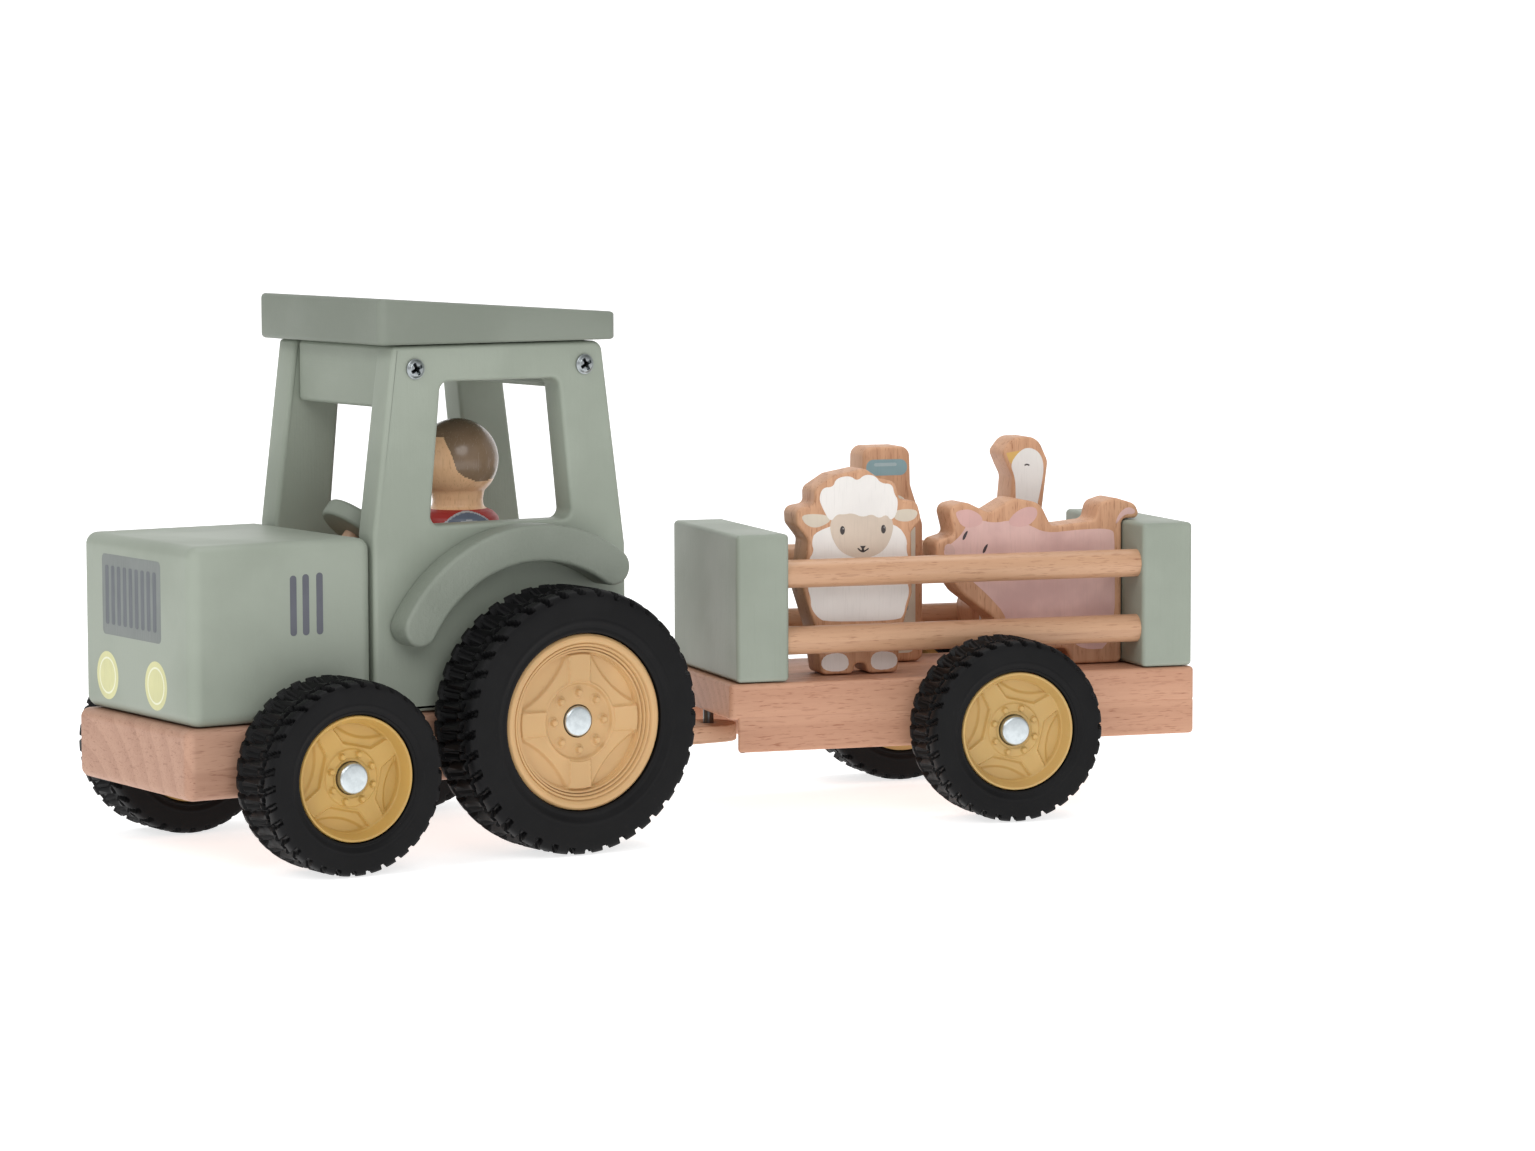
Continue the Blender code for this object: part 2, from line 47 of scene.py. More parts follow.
import bpy
import numpy as np
from bpy.props import FloatProperty, FloatVectorProperty, IntProperty, PointerProperty
from mathutils import Matrix, Vector
from mathutils.geometry import tessellate_polygon

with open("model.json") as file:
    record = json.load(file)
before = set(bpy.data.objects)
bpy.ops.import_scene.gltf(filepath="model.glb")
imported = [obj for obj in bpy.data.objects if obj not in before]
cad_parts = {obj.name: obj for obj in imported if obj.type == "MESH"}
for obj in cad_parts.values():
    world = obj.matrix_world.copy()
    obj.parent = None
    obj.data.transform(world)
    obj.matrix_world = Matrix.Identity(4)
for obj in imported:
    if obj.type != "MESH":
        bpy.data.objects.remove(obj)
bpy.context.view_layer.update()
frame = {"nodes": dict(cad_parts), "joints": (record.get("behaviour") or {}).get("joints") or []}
JOINTS = {joint["name"]: joint for joint in frame["joints"]}
MM = 0.001
VIEW_AZIMUTH = math.radians(56.52)
AXLE_HOLE, CAP_RADIUS = 2.3, 4.2


class Datum:
    """A place and three directions that local millimetres are measured from."""

    def __init__(self, origin, x_axis):
        self.origin = np.array(origin, float)
        across = np.array(x_axis, float)
        along = np.cross([0.0, 0.0, 1.0], across)
        self.axes = np.array([across, along, [0.0, 0.0, 1.0]])

    def world(self, points):
        """Local millimetres to metres in the row's frame."""
        return self.origin + np.asarray(points, float) @ self.axes * MM

    def local(self, point):
        """A point of the row's frame in this datum's millimetres."""
        return (np.array(point, float) - self.origin) @ self.axes.T / MM


MIDDLE_X = JOINTS["front_wheel_left_spin"]["pos_m"][0]
HOOD_FRONT_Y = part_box("hood_block")[0].y
PIN = JOINTS["hitch_swivel"]["pos_m"]
TRACTOR = Datum((MIDDLE_X, HOOD_FRONT_Y, 0.0), (1.0, 0.0, 0.0))
TRAILER = Datum((PIN[0], PIN[1], 0.0), JOINTS["trailer_wheel_left_spin"]["axis"])


def extent(node, datum=TRACTOR):
    """Lowest and highest corner of a CAD node in a datum's millimetres."""
    vertices = frame["nodes"][node].data.vertices
    points = np.empty(len(vertices) * 3)
    vertices.foreach_get("co", points)
    points = (points.reshape(-1, 3) - datum.origin) @ datum.axes.T / MM
    return points.min(0), points.max(0)


# ---------------------------------------------------------------- sizes and colours a user may change

class PaintSettings(bpy.types.PropertyGroup):
    """Colours of the paints and plastics."""
    sage: FloatVectorProperty(name="Sage paint",
                              description="Body paint of the tractor and the trailer's boards",
                              default=(0.318, 0.355, 0.296), subtype="COLOR", size=3, min=0, max=1)
    beech: FloatVectorProperty(name="Beech", description="Bare beech between its darker flecks",
                               default=(0.62, 0.37, 0.235), subtype="COLOR", size=3, min=0, max=1)
    ink: FloatVectorProperty(name="Vent ink", description="Printed vents and grille bars",
                             default=(0.115, 0.12, 0.145), subtype="COLOR", size=3, min=0, max=1)
    # Front rims: the trailer rims' plastic set a little darker, as painted shade that offsets the key light
    # falling on them
    front_rim: FloatVectorProperty(name="Front rims", description="Plastic of the front rims",
                                   default=(0.54, 0.335, 0.093), subtype="COLOR", size=3, min=0, max=1)
    trailer_rim: FloatVectorProperty(name="Trailer rims", description="Plastic of the trailer's rims",
                                     default=(0.565, 0.367, 0.129), subtype="COLOR", size=3, min=0, max=1)
    rear_rim: FloatVectorProperty(name="Rear rims", description="Plastic of the rear rims",
                                  default=(0.60, 0.375, 0.170), subtype="COLOR", size=3, min=0, max=1)


class ShapeSettings(bpy.types.PropertyGroup):
    """Sizes of the details."""
    edge: FloatProperty(name="Hood edge", description="Radius of the hood block's rounded edges",
                        default=0.0033, unit="LENGTH", min=0.0005, max=0.006)
    board_edge: FloatProperty(name="Board edge",
                              description="Radius of the sanded edges of boards and panels", default=0.0011,
                              unit="LENGTH", min=0.0002, max=0.003)
    groove: FloatProperty(name="Tread depth", description="Depth of the grooves between the tread's lugs",
                          default=0.0016, unit="LENGTH", min=0.0002, max=0.003)
    small_lugs: IntProperty(name="Small tyre lugs", description="Lugs round a front or trailer tyre",
                            default=34, min=12, max=60)
    rear_lugs: IntProperty(name="Rear tyre lugs", description="Lugs round a rear tyre", default=40, min=12,
                           max=60)


def paints():
    """The colours set in the sidebar."""
    return bpy.context.scene.tractor_paints


def shapes():
    """The sizes set in the sidebar, in metres."""
    return bpy.context.scene.tractor_shapes


# ---------------------------------------------------------------- surfaces

def grid_quads(rows, columns, close_rows=False, close_columns=False):
    """Quads over a grid of points numbered row by row, joined back to the start where it closes."""
    i = np.arange(rows if close_rows else rows - 1)
    j = np.arange(columns if close_columns else columns - 1)
    i, j = (part.ravel() for part in np.meshgrid(i, j, indexing="ij"))
    i2, j2 = (i + 1) % rows, (j + 1) % columns
    return np.stack([i * columns + j, i2 * columns + j, i2 * columns + j2, i * columns + j2], 1)


def outward(points, faces):
    """The same faces, turned round if the closed shape's volume, summed over its triangles, is negative."""
    volume = 0.0
    for group in faces:
        corners = points[group]
        for k in range(1, group.shape[1] - 1):
            volume += np.einsum("ij,ij->i", corners[:, 0], np.cross(corners[:, k], corners[:, k + 1])).sum()
    return [group[:, ::-1] for group in faces] if volume < 0 else faces


def new_piece(name, points, faces, materials, body, replaced=(), which=None, sharp=35.0):
    """A finished object from metre points and groups of equal-sided faces, riding on its body."""
    points = np.asarray(points, float)
    faces = outward(points, [np.asarray(group, int) for group in faces if len(group)])
    mesh = bpy.data.meshes.new(name)
    mesh.from_pydata(points.tolist(), [], [face for group in faces for face in group.tolist()])
    for material in materials:
        mesh.materials.append(material)
    if which is not None:
        mesh.polygons.foreach_set("material_index", np.asarray(which, np.int32))
    mesh.shade_smooth()
    mesh.set_sharp_from_angle(angle=math.radians(sharp))
    mesh.update()
    piece = bpy.data.objects.new(name, mesh)
    bpy.context.scene.collection.objects.link(piece)
    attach(piece, body)
    if replaced:
        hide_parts(*replaced)
    return piece


def axis_lines(low, high, radius, steps=5, support=0.5):
    """Grid lines across a box: even angles round both edges, with a support line just inside each."""
    round_off = radius * np.tan(np.linspace(0, math.pi / 4, steps + 1))
    inner = [low + radius + support, (low + high) / 2, high - radius - support]
    return np.concatenate([(low + radius - round_off)[::-1], inner, high - radius + round_off])


def block_surface(low, high, radius):
    """A box with rounded edges: each point of the sharp box is drawn to its radius from the inner box."""
    low, high = np.array(low, float), np.array(high, float)
    lines = [axis_lines(low[axis], high[axis], radius) for axis in range(3)]
    points, quads, start = [], [], 0
    for axis in range(3):
        u, v = [lines[other] for other in range(3) if other != axis]
        for side in (low[axis], high[axis]):
            grid_u, grid_v = np.meshgrid(u, v, indexing="ij")
            sheet = np.insert(np.stack([grid_u.ravel(), grid_v.ravel()], 1), axis, side, axis=1)
            face = grid_quads(len(u), len(v)) + start
            turned = (axis == 1) == (side == high[axis])
            quads.append(face[:, ::-1] if turned else face)
            points.append(sheet)
            start += len(sheet)
    points = np.concatenate(points)
    inner = np.clip(points, low + radius, high - radius)
    away = points - inner
    points = inner + radius * away / np.linalg.norm(away, axis=1, keepdims=True)
    _, first, back = np.unique(np.round(points, 5), axis=0, return_index=True, return_inverse=True)
    return points[first], back.reshape(-1)[np.concatenate(quads)]


def offset(outline, distance):
    """A closed outline drawn inwards by a distance along its mitred corner normals."""
    edge = np.roll(outline, -1, 0) - outline
    edge /= np.linalg.norm(edge, axis=1, keepdims=True)
    normal = np.stack([-edge[:, 1], edge[:, 0]], 1)
    before = np.roll(normal, 1, 0)
    mitre = (normal + before) / np.maximum(1 + (normal * before).sum(1, keepdims=True), 0.3)
    return outline + distance * mitre


def signed_area(outline):
    """Half the sum of the cross products of neighbouring points, positive for an anticlockwise outline."""
    x, y = outline[:, 0], outline[:, 1]
    return 0.5 * np.sum(x * np.roll(y, -1) - y * np.roll(x, -1))


def plate_surface(outlines, low, high, radius, steps=4):
    """A flat board between two heights whose edge is a quarter round above and below.

    Every outline is carried round the edge's profile; the two flat faces are filled between the
    innermost rings."""
    loops = []
    for k, outline in enumerate(outlines):
        outline = np.asarray(outline, float)
        wants_left = k == 0
        loops.append(outline if (signed_area(outline) > 0) == wants_left else outline[::-1])
    angle = np.linspace(0, math.pi / 2, steps + 1)
    inset = np.concatenate([[radius + 0.35], radius * (1 - np.sin(angle)), radius * (1 - np.cos(angle)),
                            [radius + 0.35]])
    height = np.concatenate([[low], low + radius * (1 - np.cos(angle)), high - radius * (1 - np.sin(angle)),
                             [high]])
    points, quads, start = [], [], 0
    for loop in loops:
        rings = [np.column_stack([offset(loop, d), np.full(len(loop), z)]) for d, z in zip(inset, height)]
        points += rings
        quads.append(grid_quads(len(rings), len(loop), close_columns=True) + start)
        start += len(rings) * len(loop)
    points = np.concatenate(points)
    ring_starts = np.cumsum([0] + [len(inset) * len(loop) for loop in loops[:-1]])
    bottom = np.concatenate([np.arange(len(loop)) + s for loop, s in zip(loops, ring_starts)])
    top = np.concatenate([np.arange(len(loop)) + s + (len(inset) - 1) * len(loop)
                          for loop, s in zip(loops, ring_starts)])
    rings_2d = [[Vector((*p, 0.0)) for p in offset(loop, radius + 0.35)] for loop in loops]
    fill = np.array([triangle for triangle in tessellate_polygon(rings_2d)])
    corner = points[top][:, :2][fill]
    cross = np.cross(corner[:, 1] - corner[:, 0], corner[:, 2] - corner[:, 0])
    fill = fill[np.abs(cross) > 1e-9]
    fill = np.where((cross[np.abs(cross) > 1e-9] > 0)[:, None], fill, fill[:, ::-1])
    return points, np.concatenate(quads)[:, ::-1], np.concatenate([top[fill], bottom[fill][:, ::-1]])


def rounded(corners, step=0.35):
    """An outline of (x, y, radius) corners, each radius an arc of short even steps."""
    corners = np.array(corners, float)
    place, radius = corners[:, :2], corners[:, 2]
    out = []
    for before, here, after, r in zip(np.roll(place, 1, 0), place, np.roll(place, -1, 0), radius):
        a, b = before - here, after - here
        length_a, length_b = np.linalg.norm(a), np.linalg.norm(b)
        half = math.acos(np.clip(a @ b / length_a / length_b, -1, 1)) / 2
        reach = min(max(r, 0.05) / math.tan(half), 0.49 * length_a, 0.49 * length_b)
        r = reach * math.tan(half)
        first, last = here + a / length_a * reach, here + b / length_b * reach
        between = a / length_a + b / length_b
        middle = here + between / np.linalg.norm(between) * r / math.sin(half)
        start, sweep = first - middle, math.pi - 2 * half
        sweep = math.copysign(sweep, start[0] * (last - middle)[1] - start[1] * (last - middle)[0])
        turn = np.linspace(0, sweep, max(2, min(16, int(abs(sweep) * r / step) + 2)))[:, None]
        out.append(middle + start * np.cos(turn) + np.array([-start[1], start[0]]) * np.sin(turn))
    return np.concatenate(out)


def circle(centre, radius, count=48):
    """An even ring of points, or an ellipse where radius has two values."""
    turn = np.arange(count) * 2 * math.pi / count
    return np.array(centre) + np.array(radius) * np.column_stack([np.cos(turn), np.sin(turn)])


def upright(points, x=0.0, sign=1):
    """Outline (along, up, height) to local places: height above a board's middle runs sideways from x."""
    return np.column_stack([x + sign * points[:, 2], points[:, 0], points[:, 1]])


def board(name, outlines, low, high, radius, place, datum, materials, body, replaced):
    """A board cut to outlines, put in place by a function of its flat points."""
    points, quads, fill = plate_surface(outlines, low, high, radius)
    return new_piece(name, datum.world(place(points)), [quads, fill], materials, body, replaced)


def join(parts):
    """Several (points, face groups, material) surfaces as one: its points, quads, triangles and materials."""
    points, quads, triangles, quad_look, triangle_look, start = [], [], [], [], [], 0
    for part_points, part_quads, part_triangles, look in parts:
        points.append(part_points)
        quads.append(np.asarray(part_quads).reshape(-1, 4) + start)
        triangles.append(np.asarray(part_triangles).reshape(-1, 3) + start)
        quad_look.append(np.full(len(quads[-1]), look))
        triangle_look.append(np.full(len(triangles[-1]), look))
        start += len(part_points)
    return (np.concatenate(points),
            [np.concatenate(quads).astype(int), np.concatenate(triangles).astype(int)],
            np.concatenate(quad_look + triangle_look))


def around(section_r, section_h, steps, spin=0.0):
    """A section of radii and heights carried round an axis: rows are angles, columns follow the section."""
    turn = (np.arange(steps) * 2 * math.pi / steps + spin)[:, None]
    r = np.broadcast_to(section_r, (steps, section_r.shape[-1]))
    h = np.broadcast_to(section_h, (steps, section_h.shape[-1]))
    return np.stack([r * np.cos(turn), r * np.sin(turn), h], 2)


def smooth(value, start, end):
    """0 below start, 1 above end, and an S-curve between."""
    t = np.clip((value - start) / (end - start), 0, 1)
    return t * t * (3 - 2 * t)


def resample(points, count):
    """Even steps along a line through corner points, with the corners softened by the spacing."""
    points = np.array(points, float)
    length = np.concatenate([[0], np.cumsum(np.linalg.norm(np.diff(points, axis=0), axis=1))])
    at = np.linspace(0, length[-1], count)
    return np.column_stack([np.interp(at, length, points[:, k]) for k in range(points.shape[1])])


# ---------------------------------------------------------------- materials

class Nodes:
    """Short calls for a node tree."""

    def __init__(self, tree):
        self.tree = tree

    def add(self, kind, values=None, **settings):
        """A node with its settings made and its inputs linked or filled."""
        node = self.tree.nodes.new(kind)
        for key, value in settings.items():
            setattr(node, key, value)
        for key, value in (values or {}).items():
            socket = node.inputs[key]
            if isinstance(value, bpy.types.NodeSocket):
                self.tree.links.new(value, socket)
            else:
                socket.default_value = value
        return node

    def noise(self, vector, scale, detail=3.0, roughness=0.5, distortion=0.0):
        """Noise of so many waves to the metre."""
        return self.add("ShaderNodeTexNoise", {"Vector": vector, "Scale": scale, "Detail": detail,
                                               "Roughness": roughness,
                                               "Distortion": distortion}).outputs["Fac"]

    def math(self, operation, a, b=0.5, clamp=False):
        """One sum on two values or sockets."""
        return self.add("ShaderNodeMath", {0: a, 1: b}, operation=operation, use_clamp=clamp).outputs[0]

    def ramp(self, value, low, high, out_low=0.0, out_high=1.0):
        """An S-shaped step between two values."""
        return self.add("ShaderNodeMapRange",
                        {"Value": value, "From Min": low, "From Max": high, "To Min": out_low,
                         "To Max": out_high}, interpolation_type="SMOOTHSTEP").outputs[0]

    def mix(self, factor, a, b):
        """Two colours mixed by a factor."""
        a, b = (value if isinstance(value, bpy.types.NodeSocket) else (*value, 1.0) for value in (a, b))
        return self.add("ShaderNodeMix", {0: factor, 6: a, 7: b}, data_type="RGBA").outputs[2]

    def place(self, scale=(1, 1, 1), turn=(0, 0, 0), shift=(0, 0, 0)):
        """Object coordinates, drawn out, turned and moved."""
        at = self.add("ShaderNodeTexCoord").outputs["Object"]
        return self.add("ShaderNodeMapping", {"Vector": at, "Location": shift, "Rotation": turn,
                                              "Scale": scale}).outputs[0]

    def bump(self, height, strength, distance):
        """A normal bent by a height."""
        return self.add("ShaderNodeBump",
                        {"Height": height, "Strength": strength, "Distance": distance}).outputs[0]


def group(name, inputs, outputs):
    """An empty shader node group with named sockets: (kind, name, default) for each input."""
    tree = bpy.data.node_groups.new(name, "ShaderNodeTree")
    for kind, label, default in inputs:
        socket = tree.interface.new_socket(label, in_out="INPUT", socket_type="NodeSocket" + kind)
        if default is not None:
            socket.default_value = default
    for kind, label in outputs:
        tree.interface.new_socket(label, in_out="OUTPUT", socket_type="NodeSocket" + kind)
    nodes = Nodes(tree)
    return nodes, nodes.add("NodeGroupInput").outputs, nodes.add("NodeGroupOutput").inputs


def finish_group(nodes, outputs, values):
    """Link a group's results to its outputs."""
    for label, value in values.items():
        nodes.tree.links.new(value, outputs[label])
    return nodes.tree


def beech_group():
    """Beech from a place whose y runs along the grain: growth rings, ray flecks and fine pores.

    Rings are a wave of the distance from the y axis, bent by noise; flecks and pores are noise drawn out
    along y."""
    nodes, given, out = group("beech_grain",
                              [("Vector", "Vector", None), ("Color", "Wood", (0.6, 0.36, 0.22, 1)),
                               ("Float", "Ring spacing", 0.0042), ("Float", "Contrast", 1.0)],
                              [("Color", "Color"), ("Float", "Rough"), ("Float", "Height")])
    split = nodes.add("ShaderNodeSeparateXYZ", {"Vector": given["Vector"]}).outputs
    radial = nodes.add("ShaderNodeCombineXYZ", {0: split[0], 1: 0.0, 2: split[2]}).outputs[0]
    distance = nodes.add("ShaderNodeVectorMath", {0: radial}, operation="LENGTH").outputs["Value"]
    slow = nodes.add("ShaderNodeMapping", {"Vector": given["Vector"], "Scale": (30, 6, 30)}).outputs[0]
    bent = nodes.math("MULTIPLY_ADD", nodes.noise(slow, 1.0, 2.0), 0.004)
    nodes.tree.links.new(distance, bent.node.inputs[2])
    phase = nodes.math("FRACT", nodes.math("DIVIDE", bent, given["Ring spacing"]))
    ring = nodes.math("SUBTRACT", nodes.ramp(phase, 0.1, 0.92), nodes.ramp(phase, 0.92, 1.0))
    drawn = nodes.add("ShaderNodeMapping",
                      {"Vector": given["Vector"], "Scale": (2600, 230, 2600)}).outputs[0]
    pores = nodes.ramp(nodes.noise(drawn, 1.0, 2.0, 0.6), 0.58, 0.72)
    long = nodes.add("ShaderNodeMapping", {"Vector": given["Vector"], "Scale": (900, 42, 900)}).outputs[0]
    streak = nodes.noise(long, 1.0, 3.0, 0.6)
    fleck_at = nodes.add("ShaderNodeMapping",
                         {"Vector": given["Vector"], "Scale": (420, 150, 1300)}).outputs[0]
    fleck = nodes.ramp(nodes.noise(fleck_at, 1.0, 1.0, 0.4), 0.62, 0.74)
    cloud = nodes.noise(slow, 1.6, 3.0)
    shade = nodes.math("MULTIPLY", ring, 0.09)
    for part, share in ((pores, 0.24), (streak, 0.20), (fleck, 0.14), (cloud, 0.12)):
        shade = nodes.math("ADD", shade, nodes.math("MULTIPLY", part, share))
    shade = nodes.math("MULTIPLY", nodes.math("SUBTRACT", shade, 0.26), given["Contrast"])
    deep = nodes.add("ShaderNodeHueSaturation",
                     {"Hue": 0.487, "Saturation": 1.22, "Value": 0.42, "Fac": 1.0,
                      "Color": given["Wood"]}).outputs[0]
    pale = nodes.add("ShaderNodeHueSaturation",
                     {"Hue": 0.506, "Saturation": 0.86, "Value": 1.18, "Fac": 1.0,
                      "Color": given["Wood"]}).outputs[0]
    color = nodes.mix(nodes.ramp(shade, -0.28, 0.42), pale, deep)
    rough = nodes.math("MULTIPLY_ADD", pores, 0.2)
    rough.node.inputs[2].default_value = 0.5
    height = nodes.math("SUBTRACT", nodes.math("MULTIPLY", streak, 0.4), pores)
    return finish_group(nodes, out, {"Color": color, "Rough": rough, "Height": height})


def paint_group():
    """Sprayed satin paint: orange peel, a slow cloud of tone, faint grain and dust specks."""
    nodes, given, out = group("satin_paint",
                              [("Vector", "Vector", None), ("Color", "Paint", (0.3, 0.35, 0.28, 1)),
                               ("Float", "Grain", 0.3)],
                              [("Color", "Color"), ("Float", "Rough"), ("Float", "Height")])
    peel = nodes.noise(given["Vector"], 900.0, 2.0, 0.5)
    cloud = nodes.noise(given["Vector"], 34.0, 3.0, 0.5)
    grit = nodes.noise(given["Vector"], 4200.0, 1.0, 0.5)
    drawn = nodes.add("ShaderNodeMapping",
                      {"Vector": given["Vector"], "Scale": (1500, 1500, 70)}).outputs[0]
    fibre = nodes.noise(drawn, 1.0, 2.0, 0.6)
    speck = nodes.ramp(nodes.noise(given["Vector"], 260.0, 0.0, 0.5), 0.80, 0.83)
    dark = nodes.add("ShaderNodeHueSaturation", {"Hue": 0.5, "Saturation": 1.05, "Value": 0.9, "Fac": 1.0,
                                                 "Color": given["Paint"]}).outputs[0]
    tone = nodes.mix(nodes.ramp(cloud, 0.35, 0.68), given["Paint"], dark)
    tone = nodes.mix(nodes.math("MULTIPLY",
                                nodes.math("MULTIPLY", nodes.ramp(fibre, 0.5, 0.8), given["Grain"]), 0.5),
                     tone, dark)
    tone = nodes.mix(nodes.math("MULTIPLY", speck, 0.25), tone, dark)
    rough = nodes.ramp(cloud, 0.3, 0.7, 0.46, 0.56)
    height = nodes.math("ADD", nodes.math("MULTIPLY", peel, 0.6),
                        nodes.math("ADD", nodes.math("MULTIPLY", fibre, given["Grain"]),
                                   nodes.math("MULTIPLY", grit, 0.18)))
    return finish_group(nodes, out, {"Color": tone, "Rough": rough, "Height": height})


def wear_group():
    """A mask of small chips: hard-edged blots of noise, only where a second noise lets them be."""
    nodes, given, out = group("chips", [("Vector", "Vector", None), ("Float", "Amount", 0.1)],
                              [("Float", "Mask")])
    blot = nodes.noise(given["Vector"], 420.0, 3.0, 0.6)
    where = nodes.noise(given["Vector"], 60.0, 1.0, 0.5)
    edge = nodes.math("SUBTRACT", 0.90, given["Amount"])
    level = nodes.math("ADD", nodes.math("MULTIPLY", blot, 0.62), nodes.math("MULTIPLY", where, 0.5))
    mask = nodes.math("MULTIPLY", nodes.math("SUBTRACT", level, edge), 60.0, clamp=True)
    return finish_group(nodes, out, {"Mask": mask})


GROUPS = {}


def use(nodes, name, values):
    """Places a shared group in a material, made on first use."""
    makers = {"beech_grain": beech_group, "satin_paint": paint_group, "chips": wear_group}
    if name not in GROUPS:
        GROUPS[name] = makers[name]()
    node = nodes.add("ShaderNodeGroup", node_tree=GROUPS[name])
    for key, value in values.items():
        if isinstance(value, bpy.types.NodeSocket):
            nodes.tree.links.new(value, node.inputs[key])
        else:
            node.inputs[key].default_value = value
    return node.outputs


def material(name, build):
    """A material made once: build gets its nodes and returns the Principled sockets to fill."""
    found = bpy.data.materials.get(name)
    if found:
        return found
    made = bpy.data.materials.new(name)
    made.use_nodes = True
    nodes = Nodes(made.node_tree)
    shader = made.node_tree.nodes["Principled BSDF"]
    for key, value in build(nodes).items():
        if isinstance(value, bpy.types.NodeSocket):
            made.node_tree.links.new(value, shader.inputs[key])
        else:
            shader.inputs[key].default_value = value
    return made


def sage(name="sage_paint", turn=(0, 0, 0), grain=0.3, grit=0.25, value=1.0):
    """Satin sage paint on beech, its faint grain along the piece."""
    def build(nodes):
        at = nodes.place(turn=turn)
        colour = tuple(c * value for c in paints().sage)
        film = use(nodes, "satin_paint", {"Vector": at, "Paint": (*colour, 1), "Grain": grain})
        chip = use(nodes, "chips", {"Vector": at, "Amount": 0.045})["Mask"]
        return {"Base Color": nodes.mix(chip, film["Color"], (0.50, 0.40, 0.30)),
                "Roughness": film["Rough"], "Normal": nodes.bump(film["Height"], grit, 0.0003),
                "Specular IOR Level": 0.42}
    return material(name, build)


def beech(name, turn=(0, 0, 0), shift=(0.02, 0, 0.05), tint=(1, 1, 1), spacing=0.0042, contrast=1.0,
          gloss=0.0):
    """Bare or oiled beech with its grain along the turned y axis."""
    def build(nodes):
        colour = tuple(c * t for c, t in zip(paints().beech, tint))
        wood = use(nodes, "beech_grain",
                   {"Vector": nodes.place(turn=turn, shift=shift), "Wood": (*colour, 1),
                    "Ring spacing": spacing, "Contrast": contrast})
        return {"Base Color": wood["Color"], "Roughness": nodes.math("SUBTRACT", wood["Rough"], gloss),
                "Normal": nodes.bump(wood["Height"], 0.22, 0.0002), "Specular IOR Level": 0.4}
    return material(name, build)


def ink(name, colour, tone=0.10, rough=0.5, wood=0.25, second=None):
    """Flat printed ink: watercolour clouds of tone, and the grain of the wood below it just showing."""
    def build(nodes):
        at = nodes.place()
        cloud = nodes.noise(at, 75.0, 3.0, 0.55)
        fine = nodes.noise(nodes.place(scale=(1900, 1900, 150)), 1.0, 2.0, 0.6)
        deep = tuple(c * (1 - tone * 2.2) for c in (second or colour))
        base = nodes.mix(nodes.ramp(cloud, 0.36, 0.7), colour, deep)
        base = nodes.mix(nodes.math("MULTIPLY", nodes.ramp(fine, 0.5, 0.75), wood), base,
                         tuple(c * 0.8 for c in colour))
        return {"Base Color": base, "Roughness": nodes.ramp(fine, 0.3, 0.7, rough - 0.04, rough + 0.08),
                "Normal": nodes.bump(fine, 0.08, 0.0002)}
    return material(name, build)


def rubber():
    """Black rubber: mould bloom in soft clouds, a fine matt skin and pale dust in the grooves' noise."""
    def build(nodes):
        at = nodes.place()
        cloud = nodes.noise(at, 60.0, 4.0, 0.6)
        skin = nodes.noise(at, 2600.0, 2.0, 0.6)
        dust = nodes.ramp(nodes.noise(at, 900.0, 1.0, 0.5), 0.70, 0.80)
        base = nodes.mix(nodes.ramp(cloud, 0.35, 0.7), (0.0055, 0.0055, 0.006), (0.0085, 0.0085, 0.009))
        base = nodes.mix(nodes.math("MULTIPLY", dust, 0.06), base, (0.05, 0.05, 0.05))
        return {"Base Color": base, "Roughness": nodes.ramp(cloud, 0.3, 0.7, 0.42, 0.56),
                "Normal": nodes.bump(skin, 0.2, 0.00012), "Specular IOR Level": 0.13}
    return material("tyre_rubber", build)


def plastic(name, colour):
    """Moulded satin plastic: a slow drift of tone and a fine spark-eroded texture."""
    def build(nodes):
        at = nodes.place()
        drift = nodes.noise(at, 50.0, 2.0, 0.5)
        skin = nodes.noise(at, 1800.0, 2.0, 0.5)
        deep = tuple(c * 0.9 for c in colour)
        return {"Base Color": nodes.mix(nodes.ramp(drift, 0.35, 0.65), tuple(colour), deep),
                "Roughness": nodes.ramp(skin, 0.3, 0.7, 0.38, 0.48),
                "Normal": nodes.bump(skin, 0.10, 0.0001), "Subsurface Weight": 0.06,
                "Subsurface Scale": 0.002, "Specular IOR Level": 0.45}
    return material(name, build)


def zinc(name="zinc_plate", shade=1.0):
    """Bright zinc plate on steel: tumbling marks and a mottle of roughness."""
    def build(nodes):
        at = nodes.place()
        mottle = nodes.noise(at, 620.0, 4.0, 0.65)
        marks = nodes.noise(nodes.place(scale=(1, 1, 9), turn=(0.5, 0.3, 0)), 900.0, 3.0, 0.7)
        pale, dull = (tuple(c * shade for c in tone) for tone in ((0.62, 0.67, 0.69), (0.54, 0.59, 0.61)))
        return {"Base Color": nodes.mix(nodes.ramp(mottle, 0.35, 0.68), pale, dull), "Metallic": 1.0,
                "Roughness": nodes.ramp(mottle, 0.3, 0.7, 0.28, 0.40),
                "Normal": nodes.bump(marks, 0.2, 0.00005)}
    return material(name, build)


# ---------------------------------------------------------------- the tractor's blocks and boards

def block(name, radius, look, body, datum=TRACTOR):
    """A rounded block that fills a CAD node's own box, and stands for it."""
    low, high = extent(name, datum)
    points, quads = block_surface(low, high, radius)
    return new_piece(f"{name}_wood", datum.world(points), [quads], [look], body, [name])


